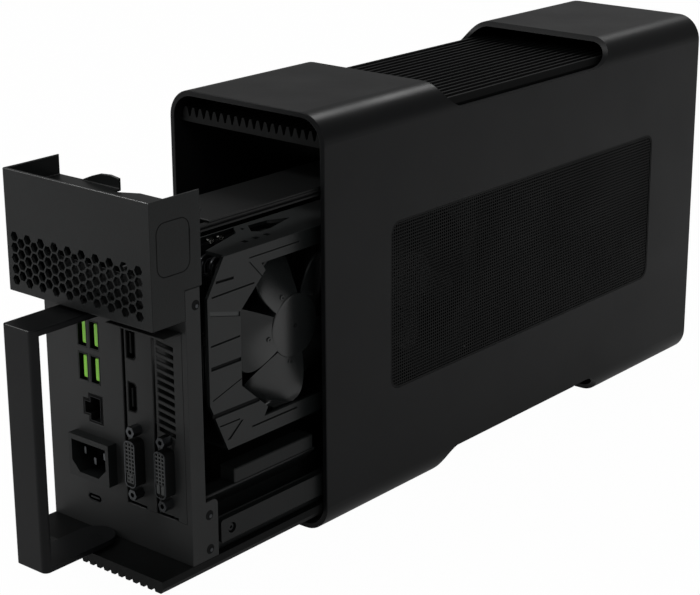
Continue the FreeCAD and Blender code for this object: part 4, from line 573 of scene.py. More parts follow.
@dataclass
class Recipe:
    """A Geometry Nodes tree under construction, with named inputs and one geometry output."""

    name: str
    tree: Tree = field(init=False)
    sockets: dict[str, str] = field(default_factory=dict)
    start: Node = field(init=False)

    def __post_init__(self) -> None:
        """Makes the tree with its group input."""
        self.tree = bpy.data.node_groups.new(self.name, "GeometryNodeTree")
        for way in ("OUTPUT", "INPUT"):
            self.tree.interface.new_socket("Geometry", in_out=way, socket_type="NodeSocketGeometry")
        self.start = self.tree.nodes.new("NodeGroupInput")

    def numbers(self, *names: str, kind: str = "Float") -> list[Socket]:
        """Adds named inputs of one kind.

        Args:
            *names: The inputs' names.
            kind: What they hold: Float, Int or Vector.

        Returns:
            The sockets that give their values inside the tree.
        """
        for name in names:
            item = self.tree.interface.new_socket(name, in_out="INPUT", socket_type="NodeSocket" + kind)
            self.sockets[name] = item.identifier
        return [self.start.outputs[name] for name in names]

    def vector(self, name: str) -> Socket:
        """Adds one named input that holds a vector."""
        return self.numbers(name, kind="Vector")[0]

    def node(self, kind: str, inputs: dict[str | int, Any] | None = None, **settings: Any) -> Node:
        """Adds a node to this tree."""
        return add_node(self.tree, kind, inputs, **settings)

    def math(self, operation: str, first: Any, second: Any = 0.0) -> Socket:
        """Adds a math node and returns its result."""
        return self.node("ShaderNodeMath", {0: first, 1: second}, operation=operation).outputs[0]

    def position(self) -> Node:
        """Adds a node that splits each point's position into its three numbers."""
        return self.node("ShaderNodeSeparateXYZ", {0: self.node("GeometryNodeInputPosition").outputs[0]})

    def push(self, mesh: Socket, offset: Any, **inputs: Any) -> Node:
        """Adds a node that extrudes the faces of a mesh by an offset in metres."""
        return self.node("GeometryNodeExtrudeMesh", {"Mesh": mesh, "Offset Scale": offset, **inputs}, mode="FACES")

    def scale(self, shape: Socket, chosen: Socket, share: Any) -> Socket:
        """Scales each chosen face about its own middle and returns the geometry."""
        return self.node("GeometryNodeScaleElements", {
            "Geometry": shape, "Selection": chosen, "Scale": share}, domain="FACE").outputs[0]

    def drop(self, shape: Socket, chosen: Socket) -> Socket:
        """Deletes the chosen faces and returns the rest."""
        return self.node("GeometryNodeDeleteGeometry", {
            "Geometry": shape, "Selection": chosen}, domain="FACE").outputs[0]

    def join(self, *parts: Socket) -> Socket:
        """Joins geometries into one."""
        both = self.node("GeometryNodeJoinGeometry")
        for part in parts:
            self.tree.links.new(part, both.inputs[0])
        return both.outputs[0]

    def weld(self, shape: Socket) -> Socket:
        """Merges points that lie on each other."""
        return self.node("GeometryNodeMergeByDistance", {"Geometry": shape, "Distance": TREE_WELD}).outputs[0]

    def thicken(self, sheet: Socket, thick: Any) -> Socket:
        """Gives a sheet its thickness and closes it.

        Args:
            sheet: The sheet's geometry.
            thick: Its thickness, in metres.

        Returns:
            The closed geometry.
        """
        raised = self.push(sheet, thick, Individual=False)
        under = self.node("GeometryNodeFlipFaces", {"Mesh": sheet})
        return self.weld(self.join(raised.outputs["Mesh"], under.outputs[0]))

    def close(self, shape: Socket, finish: Finish) -> None:
        """Ends the tree: real geometry with its material.

        Args:
            shape: The geometry to give out.
            finish: The finish to set.
        """
        real = self.node("GeometryNodeRealizeInstances", {"Geometry": shape})
        dressed = self.node("GeometryNodeSetMaterial", {
            "Geometry": real.outputs[0], "Material": finish.material()})
        self.node("NodeGroupOutput", {"Geometry": dressed.outputs[0]})

    def make(self, name: str, values: dict[str, Any], points: Sequence[Point] = ((0, 0, 0),),
             facing: Sequence[Point] = (), runs: Sequence[tuple[int, int]] = ()) -> Object:
        """Runs the tree on a set of points and keeps the result as a plain mesh.

        Args:
            name: The finished object's name.
            values: Input name to value.
            points: The points that the tree starts from, in metres.
            facing: A direction for each point, kept as the attribute "facing".
            runs: Pairs of points joined by an edge, for a tree that follows a path.

        Returns:
            The finished object, at the origin.
        """
        source = mesh_object(name + "_seed", points, [], runs)
        if facing:
            layer = source.data.attributes.new("facing", "FLOAT_VECTOR", "POINT")
            layer.data.foreach_set("vector", [c for row in facing for c in row])
        modifier = source.modifiers.new("recipe", "NODES")
        modifier.node_group = self.tree
        for key, value in values.items():
            modifier[self.sockets[key]] = value
        source.update_tag()
        graph = bpy.context.evaluated_depsgraph_get()
        mesh = bpy.data.meshes.new_from_object(source.evaluated_get(graph), depsgraph=graph)
        source.modifiers.remove(modifier)
        bpy.data.objects.remove(source)
        mesh.name = name
        return link_object(name, mesh)


def pierced_sheet(name: str, finish: Finish, size: tuple[float, float], cell: tuple[float, float],
                  form: tuple[float, float], turn: Point, place: Sequence[float]) -> Object:
    """Makes a pierced sheet: a grid whose cells are inset and cut out, with round corners.

    Args:
        name: The object's name.
        finish: The finish.
        size: The sheet's length and height, in millimetres.
        cell: The pitch of its holes and the bar left between two of them, in millimetres.
        form: Its thickness and its corner radius, in millimetres.
        turn: Its turn about X, Y and Z, in degrees.
        place: Its middle, in millimetres.

    Returns:
        The sheet.
    """
    plan = Recipe("pierced_sheet")
    op = plan.math
    long, high, pitch, bar, thick, corner = plan.numbers("Length", "Height", "Pitch", "Bar", "Thickness", "Corner")
    columns = op("ROUND", op("DIVIDE", long, pitch))
    rows = op("ROUND", op("DIVIDE", high, pitch))
    grid = plan.node("GeometryNodeMeshGrid", {
        "Size X": op("MULTIPLY", columns, pitch), "Size Y": op("MULTIPLY", rows, pitch),
        "Vertices X": op("ADD", columns, 1.0), "Vertices Y": op("ADD", rows, 1.0)})
    spot = plan.position()
    gaps = []
    for axis, side in ((0, long), (1, high)):
        edge = op("SUBTRACT", op("MULTIPLY", side, 0.5), corner)
        past = op("SUBTRACT", op("ABSOLUTE", spot.outputs[axis]), edge)
        gaps.append(op("POWER", op("MAXIMUM", past, 0.0), 2.0))
    reach = op("SQRT", op("ADD", *gaps))
    outside = plan.node("FunctionNodeCompare", {"A": reach, "B": corner}, operation="GREATER_THAN")
    cells = plan.push(plan.drop(grid.outputs["Mesh"], outside.outputs[0]), 0.0, Individual=True)
    share = op("SUBTRACT", 1.0, op("DIVIDE", bar, pitch))
    inset = plan.scale(cells.outputs["Mesh"], cells.outputs["Top"], share)
    solid = plan.thicken(plan.drop(inset, cells.outputs["Top"]), thick)
    turned = plan.node("GeometryNodeTransform", {"Geometry": solid, "Rotation": plan.vector("Turn")})
    placed = plan.node("GeometryNodeTransform", {
        "Geometry": turned.outputs[0], "Translation": plan.vector("Place")})
    plan.close(placed.outputs[0], finish)
    lengths = zip(("Length", "Height", "Pitch", "Bar", "Thickness", "Corner"), (*size, *cell, *form))
    return plan.make(name, {**{key: value * MM for key, value in lengths},
                            "Turn": tuple(math.radians(a) for a in turn), "Place": mm(*place)[:]})


def bar_row(name: str, finish: Finish, count: int, size: Sequence[float], step: Point,
            start: Sequence[float]) -> Object:
    """Makes a row of equal bars, such as fins or contacts.

    Args:
        name: The object's name.
        finish: The finish.
        count: How many bars.
        size: Each bar's size, in millimetres.
        step: The way from one bar to the next, in millimetres.
        start: The first bar's middle, in millimetres.

    Returns:
        The row.
    """
    plan = Recipe("bar_row")
    bars, = plan.numbers("Count", kind="Int")
    line = plan.node("GeometryNodeMeshLine", {
        "Count": bars, "Start Location": plan.vector("Start"), "Offset": plan.vector("Step")})
    bar = plan.node("GeometryNodeMeshCube", {"Size": plan.vector("Size")})
    spread = plan.node("GeometryNodeInstanceOnPoints", {
        "Points": line.outputs[0], "Instance": bar.outputs["Mesh"]})
    plan.close(spread.outputs[0], finish)
    return plan.make(name, {"Count": count, "Size": mm(*size)[:], "Step": mm(*step)[:], "Start": mm(*start)[:]})


@dataclass(frozen=True)
class Head:
    """Round fastener head: its sizes, and what share of its width the socket and the shoulder leave."""

    radius: float
    high: float
    crown: float
    socket: float
    deep: float
    sides: int = 20
    shoulder: float = 0.82

    def make(self, name: str, finish: Finish, spots: Sequence[Vector], facing: Sequence[Point]) -> Object:
        """Makes one head on each spot.

        Args:
            name: The object's name.
            finish: The finish.
            spots: The heads' middles, in metres.
            facing: The direction in which each head looks.

        Returns:
            All heads as one object.
        """
        plan = Recipe("fastener_heads")
        radius, high, crown, socket, deep = plan.numbers("Radius", "Height", "Crown", "Socket", "Socket depth")
        disc = plan.node("GeometryNodeMeshCylinder", {
            "Vertices": self.sides, "Radius": radius, "Depth": high})
        raised = plan.push(disc.outputs["Mesh"], crown, Selection=disc.outputs["Top"])
        rounded = plan.scale(raised.outputs["Mesh"], raised.outputs["Top"], self.shoulder)
        ledge = plan.push(rounded, 0.0, Selection=raised.outputs["Top"])
        inset = plan.scale(ledge.outputs["Mesh"], ledge.outputs["Top"], socket)
        sunk = plan.push(inset, plan.math("MULTIPLY", deep, -1.0), Selection=ledge.outputs["Top"])
        way = plan.node("GeometryNodeInputNamedAttribute", {"Name": "facing"}, data_type="FLOAT_VECTOR")
        turn = plan.node("FunctionNodeAlignRotationToVector", {"Vector": way.outputs[0]}, axis="Z")
        spread = plan.node("GeometryNodeInstanceOnPoints", {
            "Points": plan.start.outputs["Geometry"], "Instance": sunk.outputs["Mesh"],
            "Rotation": turn.outputs[0]})
        plan.close(spread.outputs[0], finish)
        return plan.make(name, {
            "Radius": self.radius * MM, "Height": self.high * MM, "Crown": self.crown * MM,
            "Socket": self.socket, "Socket depth": self.deep * MM}, spots, facing)


def bent_pipe(name: str, finish: Finish, path: Sequence[Point], runs: Sequence[tuple[int, int]], radius: float,
              bend: float, smooth: float = 40.0) -> Object:
    """Makes a pipe: a path with rounded bends and a round section swept along it.

    Args:
        name: The object's name.
        finish: The finish.
        path: Points of the path, in metres.
        runs: Pairs of those points that the pipe joins.
        radius: The pipe's radius, in millimetres.
        bend: The radius of its bends, in millimetres.
        smooth: The largest angle that is shaded smooth, in degrees.

    Returns:
        The pipe.
    """
    plan = Recipe("bent_pipe")
    around, thick = plan.numbers("Bend", "Radius")
    line = plan.node("GeometryNodeMeshToCurve", {0: plan.start.outputs["Geometry"]})
    bends = plan.node("GeometryNodeFilletCurve", {
        "Curve": line.outputs[0], "Radius": around, "Count": 7}, mode="POLY")
    section = plan.node("GeometryNodeCurvePrimitiveCircle", {"Resolution": 14, "Radius": thick})
    swept = plan.node("GeometryNodeCurveToMesh", {
        "Curve": bends.outputs[0], "Profile Curve": section.outputs[0], "Fill Caps": True})
    plan.close(swept.outputs[0], finish)
    pipe = plan.make(name, {"Bend": bend * MM, "Radius": radius * MM}, path, (), runs)
    smooth_by_angle(pipe.data, smooth)
    return pipe


# Side window

@dataclass
class SideWindow:
    """Perforated steel sheet in the sleeve's right side."""

    pitch: float = 1.75
    bar: float = 0.62
    thick: float = 0.5
    recess: float = 0.25
    border: float = 0.5
    corner: float = 7.0
    rim_deep: float = 1.2
    rim_lap: float = 0.6

    def build(self) -> None:
        """Makes the sheet and its plain border in place of the coarse CAD panel."""
        low, high = (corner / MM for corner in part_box("side_mesh_panel"))
        size = (high[1] - low[1], high[2] - low[2])
        _, y, z = (low + high) / 2
        sheet = pierced_sheet(
            "fine_side_mesh", MESH_PAINT_AND_SHADE, tuple(side - 2 * self.border for side in size), (self.pitch, self.bar),
            (self.thick, self.corner - self.border), (90.0, 0.0, 90.0), (high[0] - self.recess - self.thick, y, z))
        place_piece(sheet, "enclosure", "black_mesh")
        lap = -self.border - self.rim_lap
        rim = round_ring("side_mesh_rim", MESH_PAINT_AND_SHADE, (high[0], y, z), (size[0] / 2, size[1] / 2), self.corner,
                         ((0.0, 0.0), (0.0, -self.rim_deep), (lap, -self.rim_deep), (lap, 0.0)), axis=0)
        place_piece(rim, "enclosure", "black_mesh", "side_mesh_panel")
        LOG.info("side window: %d faces", len(sheet.data.polygons))


# Connectors in the rear panel

@dataclass
class RearConnectors:
    """Fine parts of the sockets in the rear panel: tongues, contacts, shields and blades."""

    panel: float = -197.5
    usb_x: float = -22.6
    usb_z: float = 102.5
    usb_pitch: tuple[float, float] = (8.4, 17.7)
    tongue_wide: float = 3.3
    tongue_high: float = 11.6
    tongue_shift: float = 0.75
    tongue_back: tuple[float, float] = (0.9, 11.5)
    tongue_edge: float = 0.9
    usb_contact: Point = (0.12, 6.0, 1.1)
    usb_contact_step: float = 2.5
    usb_contact_back: float = 4.5
    usb_contact_sunk: float = 0.02
    jack: tuple[float, float] = (-15.0, 82.0)
    jack_half: tuple[float, float] = (3.5, 6.1)
    jack_notch: tuple[float, float] = (4.0, 3.0)
    lip_wide: float = 0.22
    lip_front: float = -0.25
    lip_back: float = 0.05
    jack_contact: Point = (0.35, 6.0, 0.5)
    jack_contact_step: float = 1.27
    jack_contact_place: Point = (2.9, 5.0, -4.45)
    inlet: tuple[float, float] = (-15.8, 57.1)
    blade_half: tuple[float, float] = (1.0, 2.0)
    blade_edge: float = 0.7
    blade_places: tuple[tuple[float, float], ...] = ((-7.0, 2.0), (7.0, 2.0), (0.0, -2.0))

    def build(self) -> None:
        """Makes the tongues, the contacts, the jack's shield and the inlet's blades."""
        self.tongues()
        self.jack_parts()
        self.blades()
        LOG.info("rear connectors: tongues, contacts, shield and blades")

    def tongues(self) -> None:
        """Makes the four rounded green tongues with four gold contacts each."""
        shape = bmesh.new()
        near, far = (self.panel + depth for depth in self.tongue_back)
        half = (self.tongue_wide / 2, self.tongue_high / 2)
        for i in range(2):
            for j in range(2):
                x = self.usb_x + self.usb_pitch[0] * i + self.tongue_shift
                z = self.usb_z + self.usb_pitch[1] * j
                add_block(shape, mm(x - half[0], near, z - half[1]), mm(x + half[0], far, z + half[1]),
                          self.tongue_edge)
                strips = bar_row(f"usb_contacts_{i}{j}", GOLD, 4, self.usb_contact,
                                 (0.0, 0.0, self.usb_contact_step),
                                 (x - half[0] - self.usb_contact_sunk, near + self.usb_contact_back,
                                  z - 1.5 * self.usb_contact_step))
                place_piece(strips, "tray", "port_steel")
        piece = from_bmesh("usb_green_tongues", shape, GREEN_LCP_PAINTED_LIGHT, smooth=True)
        place_piece(piece, "tray", "green_plastic", "usb_tongues")

    def jack_parts(self) -> None:
        """Makes the network jack's plated lip and its eight spring contacts."""
        x, z = self.jack
        wide, tall = self.jack_half
        reach, half = self.jack_notch
        outline = [(wide, -tall), (wide, tall), (-wide, tall), (-wide, half), (-wide - reach, half),
                   (-wide - reach, -half), (-wide, -half), (-wide, -tall)]
        loops = [[mm(x + u + math.copysign(grow, u), self.panel + y, z + v + math.copysign(grow, v))
                  for u, v in outline]
                 for grow, y in ((0.0, self.lip_back), (self.lip_wide, self.lip_back),
                                 (self.lip_wide, self.lip_front), (0.0, self.lip_front))]
        place_piece(ring_between("jack_lip", loops, OXIDE), "tray", "port_steel")
        start = [c + d for c, d in zip((x, self.panel, z), self.jack_contact_place)]
        pins = bar_row("jack_contacts", GOLD, 8, self.jack_contact, (0.0, 0.0, self.jack_contact_step), start)
        place_piece(pins, "tray", "port_steel")

    def blades(self) -> None:
        """Makes the inlet's three blades with rounded tips, in place of the plain ones."""
        low, high = (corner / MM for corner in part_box("inlet_blades"))
        x, z = self.inlet
        wide, tall = self.blade_half
        shape = bmesh.new()
        for u, v in self.blade_places:
            add_block(shape, mm(x + u - wide, low[1], z + v - tall), mm(x + u + wide, high[1], z + v + tall),
                      self.blade_edge)
        piece = from_bmesh("inlet_round_blades", shape, PLATED, smooth=True)
        place_piece(piece, "tray", "dark_steel", "inlet_blades")


# Video ports

@dataclass
class VideoPorts:
    """Fronts of the two wide video ports and the contacts in the two slim ones."""

    face: float = -203.5
    centres: tuple[float, float] = (14.5, 34.8)
    middle: float = 63.4
    half_wide: float = 3.6
    half_high: float = 11.9
    corner: float = 2.6
    rim: float = 0.55
    rim_deep: float = 0.5
    hole_pitch: float = 2.0
    hole_bar: float = 0.75
    hole_rows: int = 8
    insert_thick: float = 0.3
    insert_proud: float = 0.02
    insert_corner: float = 0.3
    insert_gap: float = 0.3
    lower_gap: float = 0.2
    lower_pitch: float = 2.3
    lower_bar: float = 1.3
    lower_corner: float = 1.0
    keys: tuple[tuple[float, float], ...] = ((-2.6, -0.5), (0.5, 2.6))
    key_high: float = 4.6
    key_edge: float = 0.15
    key_ends: tuple[float, float] = (-0.32, 0.1)
    slim_ports: tuple[tuple[str, float, int], ...] = (("display_port", 122.5, 10), ("hdmi_port", 95.0, 9))
    slim_contact: Point = (0.1, 3.0, 0.45)
    slim_step: float = 0.95
    slim_place: tuple[float, float] = (10.72, -195.0)

    def build(self) -> None:
        """Makes a rim and a pierced insert on each wide port, and the slim ports' contact rows."""
        for side, x in zip(("left", "right"), self.centres):
            self.front(side, x)
        for name, z, count in self.slim_ports:
            strips = bar_row(name + "_contacts", GOLD, count, self.slim_contact, (0.0, 0.0, self.slim_step),
                             (*self.slim_place, z - self.slim_step / 2 * (count - 1)))
            place_piece(strips, "tray", "port_steel")
        LOG.info("video ports: two fronts and two rows of contacts")

    def front(self, side: str, x: float) -> None:
        """Makes one port's rim, its pierced upper insert and its lower insert.

        Args:
            side: left or right, for the names.
            x: The port's middle, in millimetres.
        """
        section = ((0.0, 0.0), (0.0, -self.rim_deep), (-self.rim, -self.rim_deep), (-self.rim, 0.0))
        rim = round_ring(f"{side}_port_rim", PLATED, (x, self.face, self.middle),
                         (self.half_wide, self.half_high), self.corner, section, axis=1)
        place_piece(rim, "tray", "port_steel")
        top = self.middle + self.half_high - self.rim - self.insert_gap
        tall = self.hole_rows * self.hole_pitch
        upright = (90.0, 0.0, 0.0)
        proud = self.face - self.insert_proud
        sheet = pierced_sheet(f"{side}_port_insert", GREY_NYLON, (3 * self.hole_pitch, tall),
                              (self.hole_pitch, self.hole_bar), (self.insert_thick, self.insert_corner),
                              upright, (x, proud, top - tall / 2))
        place_piece(sheet, "tray", "dark_plastic")
        under = top - tall - self.lower_gap
        if side == "left":
            pitch = self.lower_pitch
            lower = pierced_sheet("left_port_lower_insert", GREY_NYLON, (2 * pitch, 2 * pitch),
                                  (pitch, self.lower_bar), (self.insert_thick, self.lower_corner), upright,
                                  (x, proud, under - pitch))
        else:
            shape = bmesh.new()
            near, far = (self.face + end for end in self.key_ends)
            for u0, u1 in self.keys:
                add_block(shape, mm(x + u0, near, under - self.key_high), mm(x + u1, far, under), self.key_edge)
            lower = from_bmesh("right_port_lower_insert", shape, GREY_NYLON)
        place_piece(lower, "tray", "dark_plastic")


# Fans

@dataclass
class FanWheel:
    """Fan wheel: a cup with rounded edges, five broad curved blades, five rivets and a small centre hole."""

    blades: int = 5
    hub_radius: float = 16.5
    hub_deep: float = 18.3
    hub_edge: float = 0.06
    hub_lower: float = 0.2
    tip_radius: float = 43.2
    root_radius: float = 14.5
    half_root: float = 33.0
    half_tip: float = 25.0
    rear_fall: float = 14.0
    front_fall: float = 1.2
    bend: float = 1.0
    thick: float = 1.1
    seat: float = 0.3
    lead_angle: float = 112.0
    sweep: float = -5.0
    tip_power: float = 7.0
    tip_round: float = 0.4
    rivet: Head = Head(1.35, 0.5, 0.15, 0.62, 0.4)
    rivet_circle: float = 18.4
    rivet_angle: float = 116.6
    rivet_lower: float = 1.1
    eye: Head = Head(1.1, 0.3, 0.02, 0.7, 0.25)

    def recipe(self) -> Recipe:
        """Builds the tree: one blade bent from a grid and turned round the axle, and a lathed cup.

        Returns:
            The tree with its named inputs.
        """
        plan = Recipe("fan_wheel")
        op = plan.math
        count, = plan.numbers("Blades", kind="Int")
        root, tip, half_root, half_tip, rear_fall, front_fall, bend, face, sweep, thick, start = plan.numbers(
            "Root radius", "Tip radius", "Half angle at root", "Half angle at tip", "Rear fall", "Front fall",
            "Bend", "Blade face", "Sweep", "Thickness", "Start angle")
        grid = plan.node("GeometryNodeMeshGrid", {
            "Size X": 1.0, "Size Y": 2.0, "Vertices X": 15, "Vertices Y": 21})
        spot = plan.position()
        share = op("ADD", spot.outputs[0], 0.5)
        chord = spot.outputs[1]
        past = op("SUBTRACT", 1.0, op("POWER", share, self.tip_power))
        taper = op("POWER", op("MAXIMUM", past, 0.0), self.tip_round)
        half = op("ADD", half_root, op("MULTIPLY", op("SUBTRACT", half_tip, half_root), share))
        turned = op("MULTIPLY", chord, op("MULTIPLY", half, taper))
        angle = op("ADD", turned, op("MULTIPLY", sweep, op("MULTIPLY", share, share)))
        radius = op("ADD", root, op("MULTIPLY", op("SUBTRACT", tip, root), share))
        behind = op("POWER", op("MULTIPLY", op("SUBTRACT", 1.0, chord), 0.5), bend)
        fall = op("MULTIPLY", op("POWER", share, bend), op("ADD", front_fall, op("MULTIPLY", rear_fall, behind)))
        blade = self.wrap(plan, grid, op("SUBTRACT", face, fall), radius, angle)
        solid = plan.thicken(blade, thick)
        places = plan.node("GeometryNodePoints", {"Count": count})
        step = op("DIVIDE", 2 * math.pi, count)
        turn = op("ADD", op("MULTIPLY", plan.node("GeometryNodeInputIndex").outputs[0], step), start)
        euler = plan.node("ShaderNodeCombineXYZ", {0: turn})
        rotation = plan.node("FunctionNodeEulerToRotation", {0: euler.outputs[0]})
        spread = plan.node("GeometryNodeInstanceOnPoints", {
            "Points": places.outputs[0], "Instance": solid, "Rotation": rotation.outputs[0]})
        both = plan.join(spread.outputs[0], self.cup(plan))
        placed = plan.node("GeometryNodeTransform", {"Geometry": both, "Translation": plan.vector("Place")})
        plan.close(placed.outputs[0], GLOSS_PBT)
        return plan

    def wrap(self, plan: Recipe, grid: Node, height: Socket, radius: Socket, angle: Socket) -> Socket:
        """Moves a grid's points to places round the axle.

        Args:
            plan: The wheel's tree.
            grid: The grid.
            height: Each point's place along the axle.
            radius: Its distance from the axle.
            angle: Its angle round the axle.

        Returns:
            The moved geometry.
        """
        place = plan.node("ShaderNodeCombineXYZ", {
            0: height, 1: plan.math("MULTIPLY", radius, plan.math("COSINE", angle)),
            2: plan.math("MULTIPLY", radius, plan.math("SINE", angle))})
        return plan.node("GeometryNodeSetPosition", {
            "Geometry": grid.outputs["Mesh"], "Position": place.outputs[0]}).outputs[0]

    def cup(self, plan: Recipe) -> Socket:
        """Adds the lathed cup: a closed drum whose two rims are rounded by a steep power curve.

        Args:
            plan: The wheel's tree.

        Returns:
            The cup's geometry.
        """
        op = plan.math
        hub, deep, base, edge = plan.numbers("Hub radius", "Hub depth", "Hub base", "Hub edge")
        grid = plan.node("GeometryNodeMeshGrid", {
            "Size X": 2 * math.pi, "Size Y": math.pi, "Vertices X": 49, "Vertices Y": 41})
        spot = plan.position()
        lift = spot.outputs[1]
        radius = op("MULTIPLY", hub, op("POWER", op("MAXIMUM", op("COSINE", lift), 0.0), edge))
        sine = op("SINE", lift)
        rise = op("MULTIPLY", op("SIGN", sine), op("POWER", op("ABSOLUTE", sine), edge))
        height = op("MULTIPLY", op("MULTIPLY", deep, 0.5), op("ADD", rise, 1.0))
        return plan.weld(self.wrap(plan, grid, op("ADD", base, height), radius, spot.outputs[0]))

    def build(self) -> None:
        """Makes both wheels with their rivets in place of the plain CAD ones."""
        plan = self.recipe()
        for name in ("rear", "front"):
            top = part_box(f"{name}_fan_rotor")[1][0] / MM
            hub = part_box(f"{name}_fan_mount")
            _, y, z = (hub[0] + hub[1]) / 2 / MM
            wheel = plan.make(f"{name}_fan_wheel", {
                "Blades": self.blades, "Root radius": self.root_radius * MM, "Tip radius": self.tip_radius * MM,
                "Half angle at root": math.radians(self.half_root),
                "Half angle at tip": math.radians(self.half_tip),
                "Rear fall": self.rear_fall * MM, "Front fall": self.front_fall * MM, "Bend": self.bend,
                "Blade face": (top - self.seat - self.thick) * MM, "Sweep": math.radians(self.sweep),
                "Thickness": self.thick * MM, "Start angle": math.radians(self.lead_angle),
                "Hub radius": self.hub_radius * MM, "Hub depth": self.hub_deep * MM,
                "Hub base": (top - self.hub_lower - self.hub_deep) * MM, "Hub edge": self.hub_edge,
                "Place": (0.0, y * MM, z * MM)})
            face_outwards(wheel.data)
            smooth_by_angle(wheel.data, 40.0)
            place_piece(wheel, f"{name}_fan", "gloss_black", f"{name}_fan_rotor")
            angles = [math.radians(self.rivet_angle + 360 / self.blades * i) for i in range(self.blades)]
            spots = [mm(top - self.rivet_lower, y + self.rivet_circle * math.cos(angle),
                        z + self.rivet_circle * math.sin(angle)) for angle in angles]
            heads = self.rivet.make(f"{name}_fan_rivets", GLOSS_PBT, spots, [RIGHT] * len(spots))
            place_piece(heads, f"{name}_fan", "gloss_black")
            # The centre hole: a dark cap with a shallow socket, whose darkness is painted shade.
            eye = self.eye.make(f"{name}_fan_centre", DULL_ABS_AND_SHADE, [mm(top - self.hub_lower, y, z)], [RIGHT])
            place_piece(eye, f"{name}_fan", "gloss_black")
            LOG.info("%s fan: %d blades and %d rivets", name, self.blades, len(spots))


# Shroud

@dataclass
class ShroudGrooveShading:
    """Thin strips that lie on the floors of the shroud's grooves: dark ones that paint shade there, and a lighter
    one that paints a highlight.
    """

    start: float = -176.4
    low: float = 1.0
    floor: float = 41.3
    thick: float = 0.06
    inset: float = 0.04
    # Start y and z, end y and z, and height of each groove.
    rows: tuple[tuple[float, float, float, float, float], ...] = (
        (6.0, 150.0, 18.0, 149.6, 1.3), (3.0, 143.5, 32.0, 143.8, 0.8), (1.6, 135.0, 21.8, 130.0, 2.4),
        (1.6, 119.5, 21.5, 119.7, 0.9), (1.4, 107.6, 21.8, 107.4, 2.0), (2.0, 92.2, 21.8, 98.0, 0.6),
        (2.0, 83.2, 34.0, 82.8, 2.4), (6.2, 77.8, 20.0, 77.6, 0.7), (28.5, 70.8, 61.0, 70.8, 0.9),
        (28.9, 157.0, 64.0, 157.0, 0.6))
    highlight_row: int = 2

    def strip(self, shape: Shape, row: tuple[float, float, float, float, float]) -> None:
        """Adds one strip to a bmesh.

        Args:
            shape: The bmesh.
            row: The groove's row.
        """
        y0, z0, y1, z1, high = row
        gap = self.inset
        corners = [shape.verts.new(mm(x, self.start + y, self.low + z))
                   for x in (self.floor, self.floor + self.thick)
                   for y, z in ((y0 + gap, z0 + gap), (y1 - gap, z1 + gap),
                                (y1 - gap, z1 + high - gap), (y0 + gap, z0 + high - gap))]
        for face in ((3, 2, 1, 0), (4, 5, 6, 7), (0, 1, 5, 4), (1, 2, 6, 5), (2, 3, 7, 6), (3, 0, 4, 7)):
            shape.faces.new([corners[i] for i in face])

    def build(self) -> None:
        """Makes the dark strips as one piece and the light one as another."""
        dark = bmesh.new()
        light = bmesh.new()
        # The dark strips are painted shade, the light one a painted highlight.
        for i, row in enumerate(self.rows):
            self.strip(light if i == self.highlight_row else dark, row)
        for name, shape, finish in (("shroud_groove_painted_shade", dark, DULL_ABS_AND_SHADE),
                                    ("shroud_groove_painted_highlight", light, ABS_PAINTED_HIGHLIGHT)):
            piece = from_bmesh(name, shape, finish)
            face_outwards(piece.data)
            place_piece(piece, "tray", "dark_plastic")
        LOG.info("shroud: %d groove floors", len(self.rows))


# Cooler

@dataclass
class Cooler:
    """Heatsink of thin fins on its base, with dark heat pipes and a block of fins at its rear."""

    pitch: float = 1.7
    fin_thick: float = 0.35
    base: float = 3.0
    base_edge: float = 0.3
    block_count: int = 11
    block_fin: Point = (0.5, 4.6, 30.0)
    block_pitch: float = 1.9
    block_start: Point = (18.4, -160.4, 135.0)
    clamp: Head = Head(1.9, 1.4, 0.5, 0.4, 0.5)
    clamp_places: tuple[float, float] = (-147.5, -140.5)
    clamp_off: tuple[float, float] = (-1.2, 0.7)
    pipe_radius: float = 1.95
    pipe_bend: float = 4.0
    pipe_places: tuple[float, float] = (20.5, 27.5)
    # The pipes' path: how far aside, y and z of each point.
    pipe_path: tuple[Point, ...] = ((0.0, -118.0, 156.0), (0.0, -158.5, 156.0), (1.0, -158.5, 142.0))

    def build(self) -> None:
        """Makes the fin stack, its base and the heat pipes in place of the CAD heatsink."""
        low, high = (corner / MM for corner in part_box("heatsink"))
        shape = bmesh.new()
        add_block(shape, mm(*low), mm(low[0] + self.base, high[1], high[2]), self.base_edge)
        place_piece(from_bmesh("heatsink_base", shape, FINS), "tray", "heatsink_metal", "heatsink")
        count = int((high[1] - low[1]) / self.pitch) + 1
        tall = high[0] - low[0] - self.base
        fins = bar_row("heatsink_fins", FINS, count, (tall, self.fin_thick, high[2] - low[2]),
                       (0.0, self.pitch, 0.0),
                       (low[0] + self.base + tall / 2, low[1] + self.fin_thick / 2, (low[2] + high[2]) / 2))
        place_piece(fins, "tray", "heatsink_metal")
        rear = bar_row("rear_fin_block", FINS, self.block_count, self.block_fin, (self.block_pitch, 0.0, 0.0),
                       self.block_start)
        place_piece(rear, "tray", "heatsink_metal")
        spots = [mm(high[0] + self.clamp_off[0], y, high[2] + self.clamp_off[1]) for y in self.clamp_places]
        clamps = self.clamp.make("fin_clamp_screws", NICKEL, spots, [UP] * len(spots))
        place_piece(clamps, "tray", "heatsink_metal")
        for i, x in enumerate(self.pipe_places):
            path = [mm(x + aside, y, z) for aside, y, z in self.pipe_path]
            pipe = bent_pipe(f"heat_pipe_{i}", OXIDE, path, [(0, 1), (1, 2)], self.pipe_radius, self.pipe_bend)
            place_piece(pipe, "tray", "heatsink_metal")
        LOG.info("cooler: %d fins and two heat pipes", count)


# Fasteners

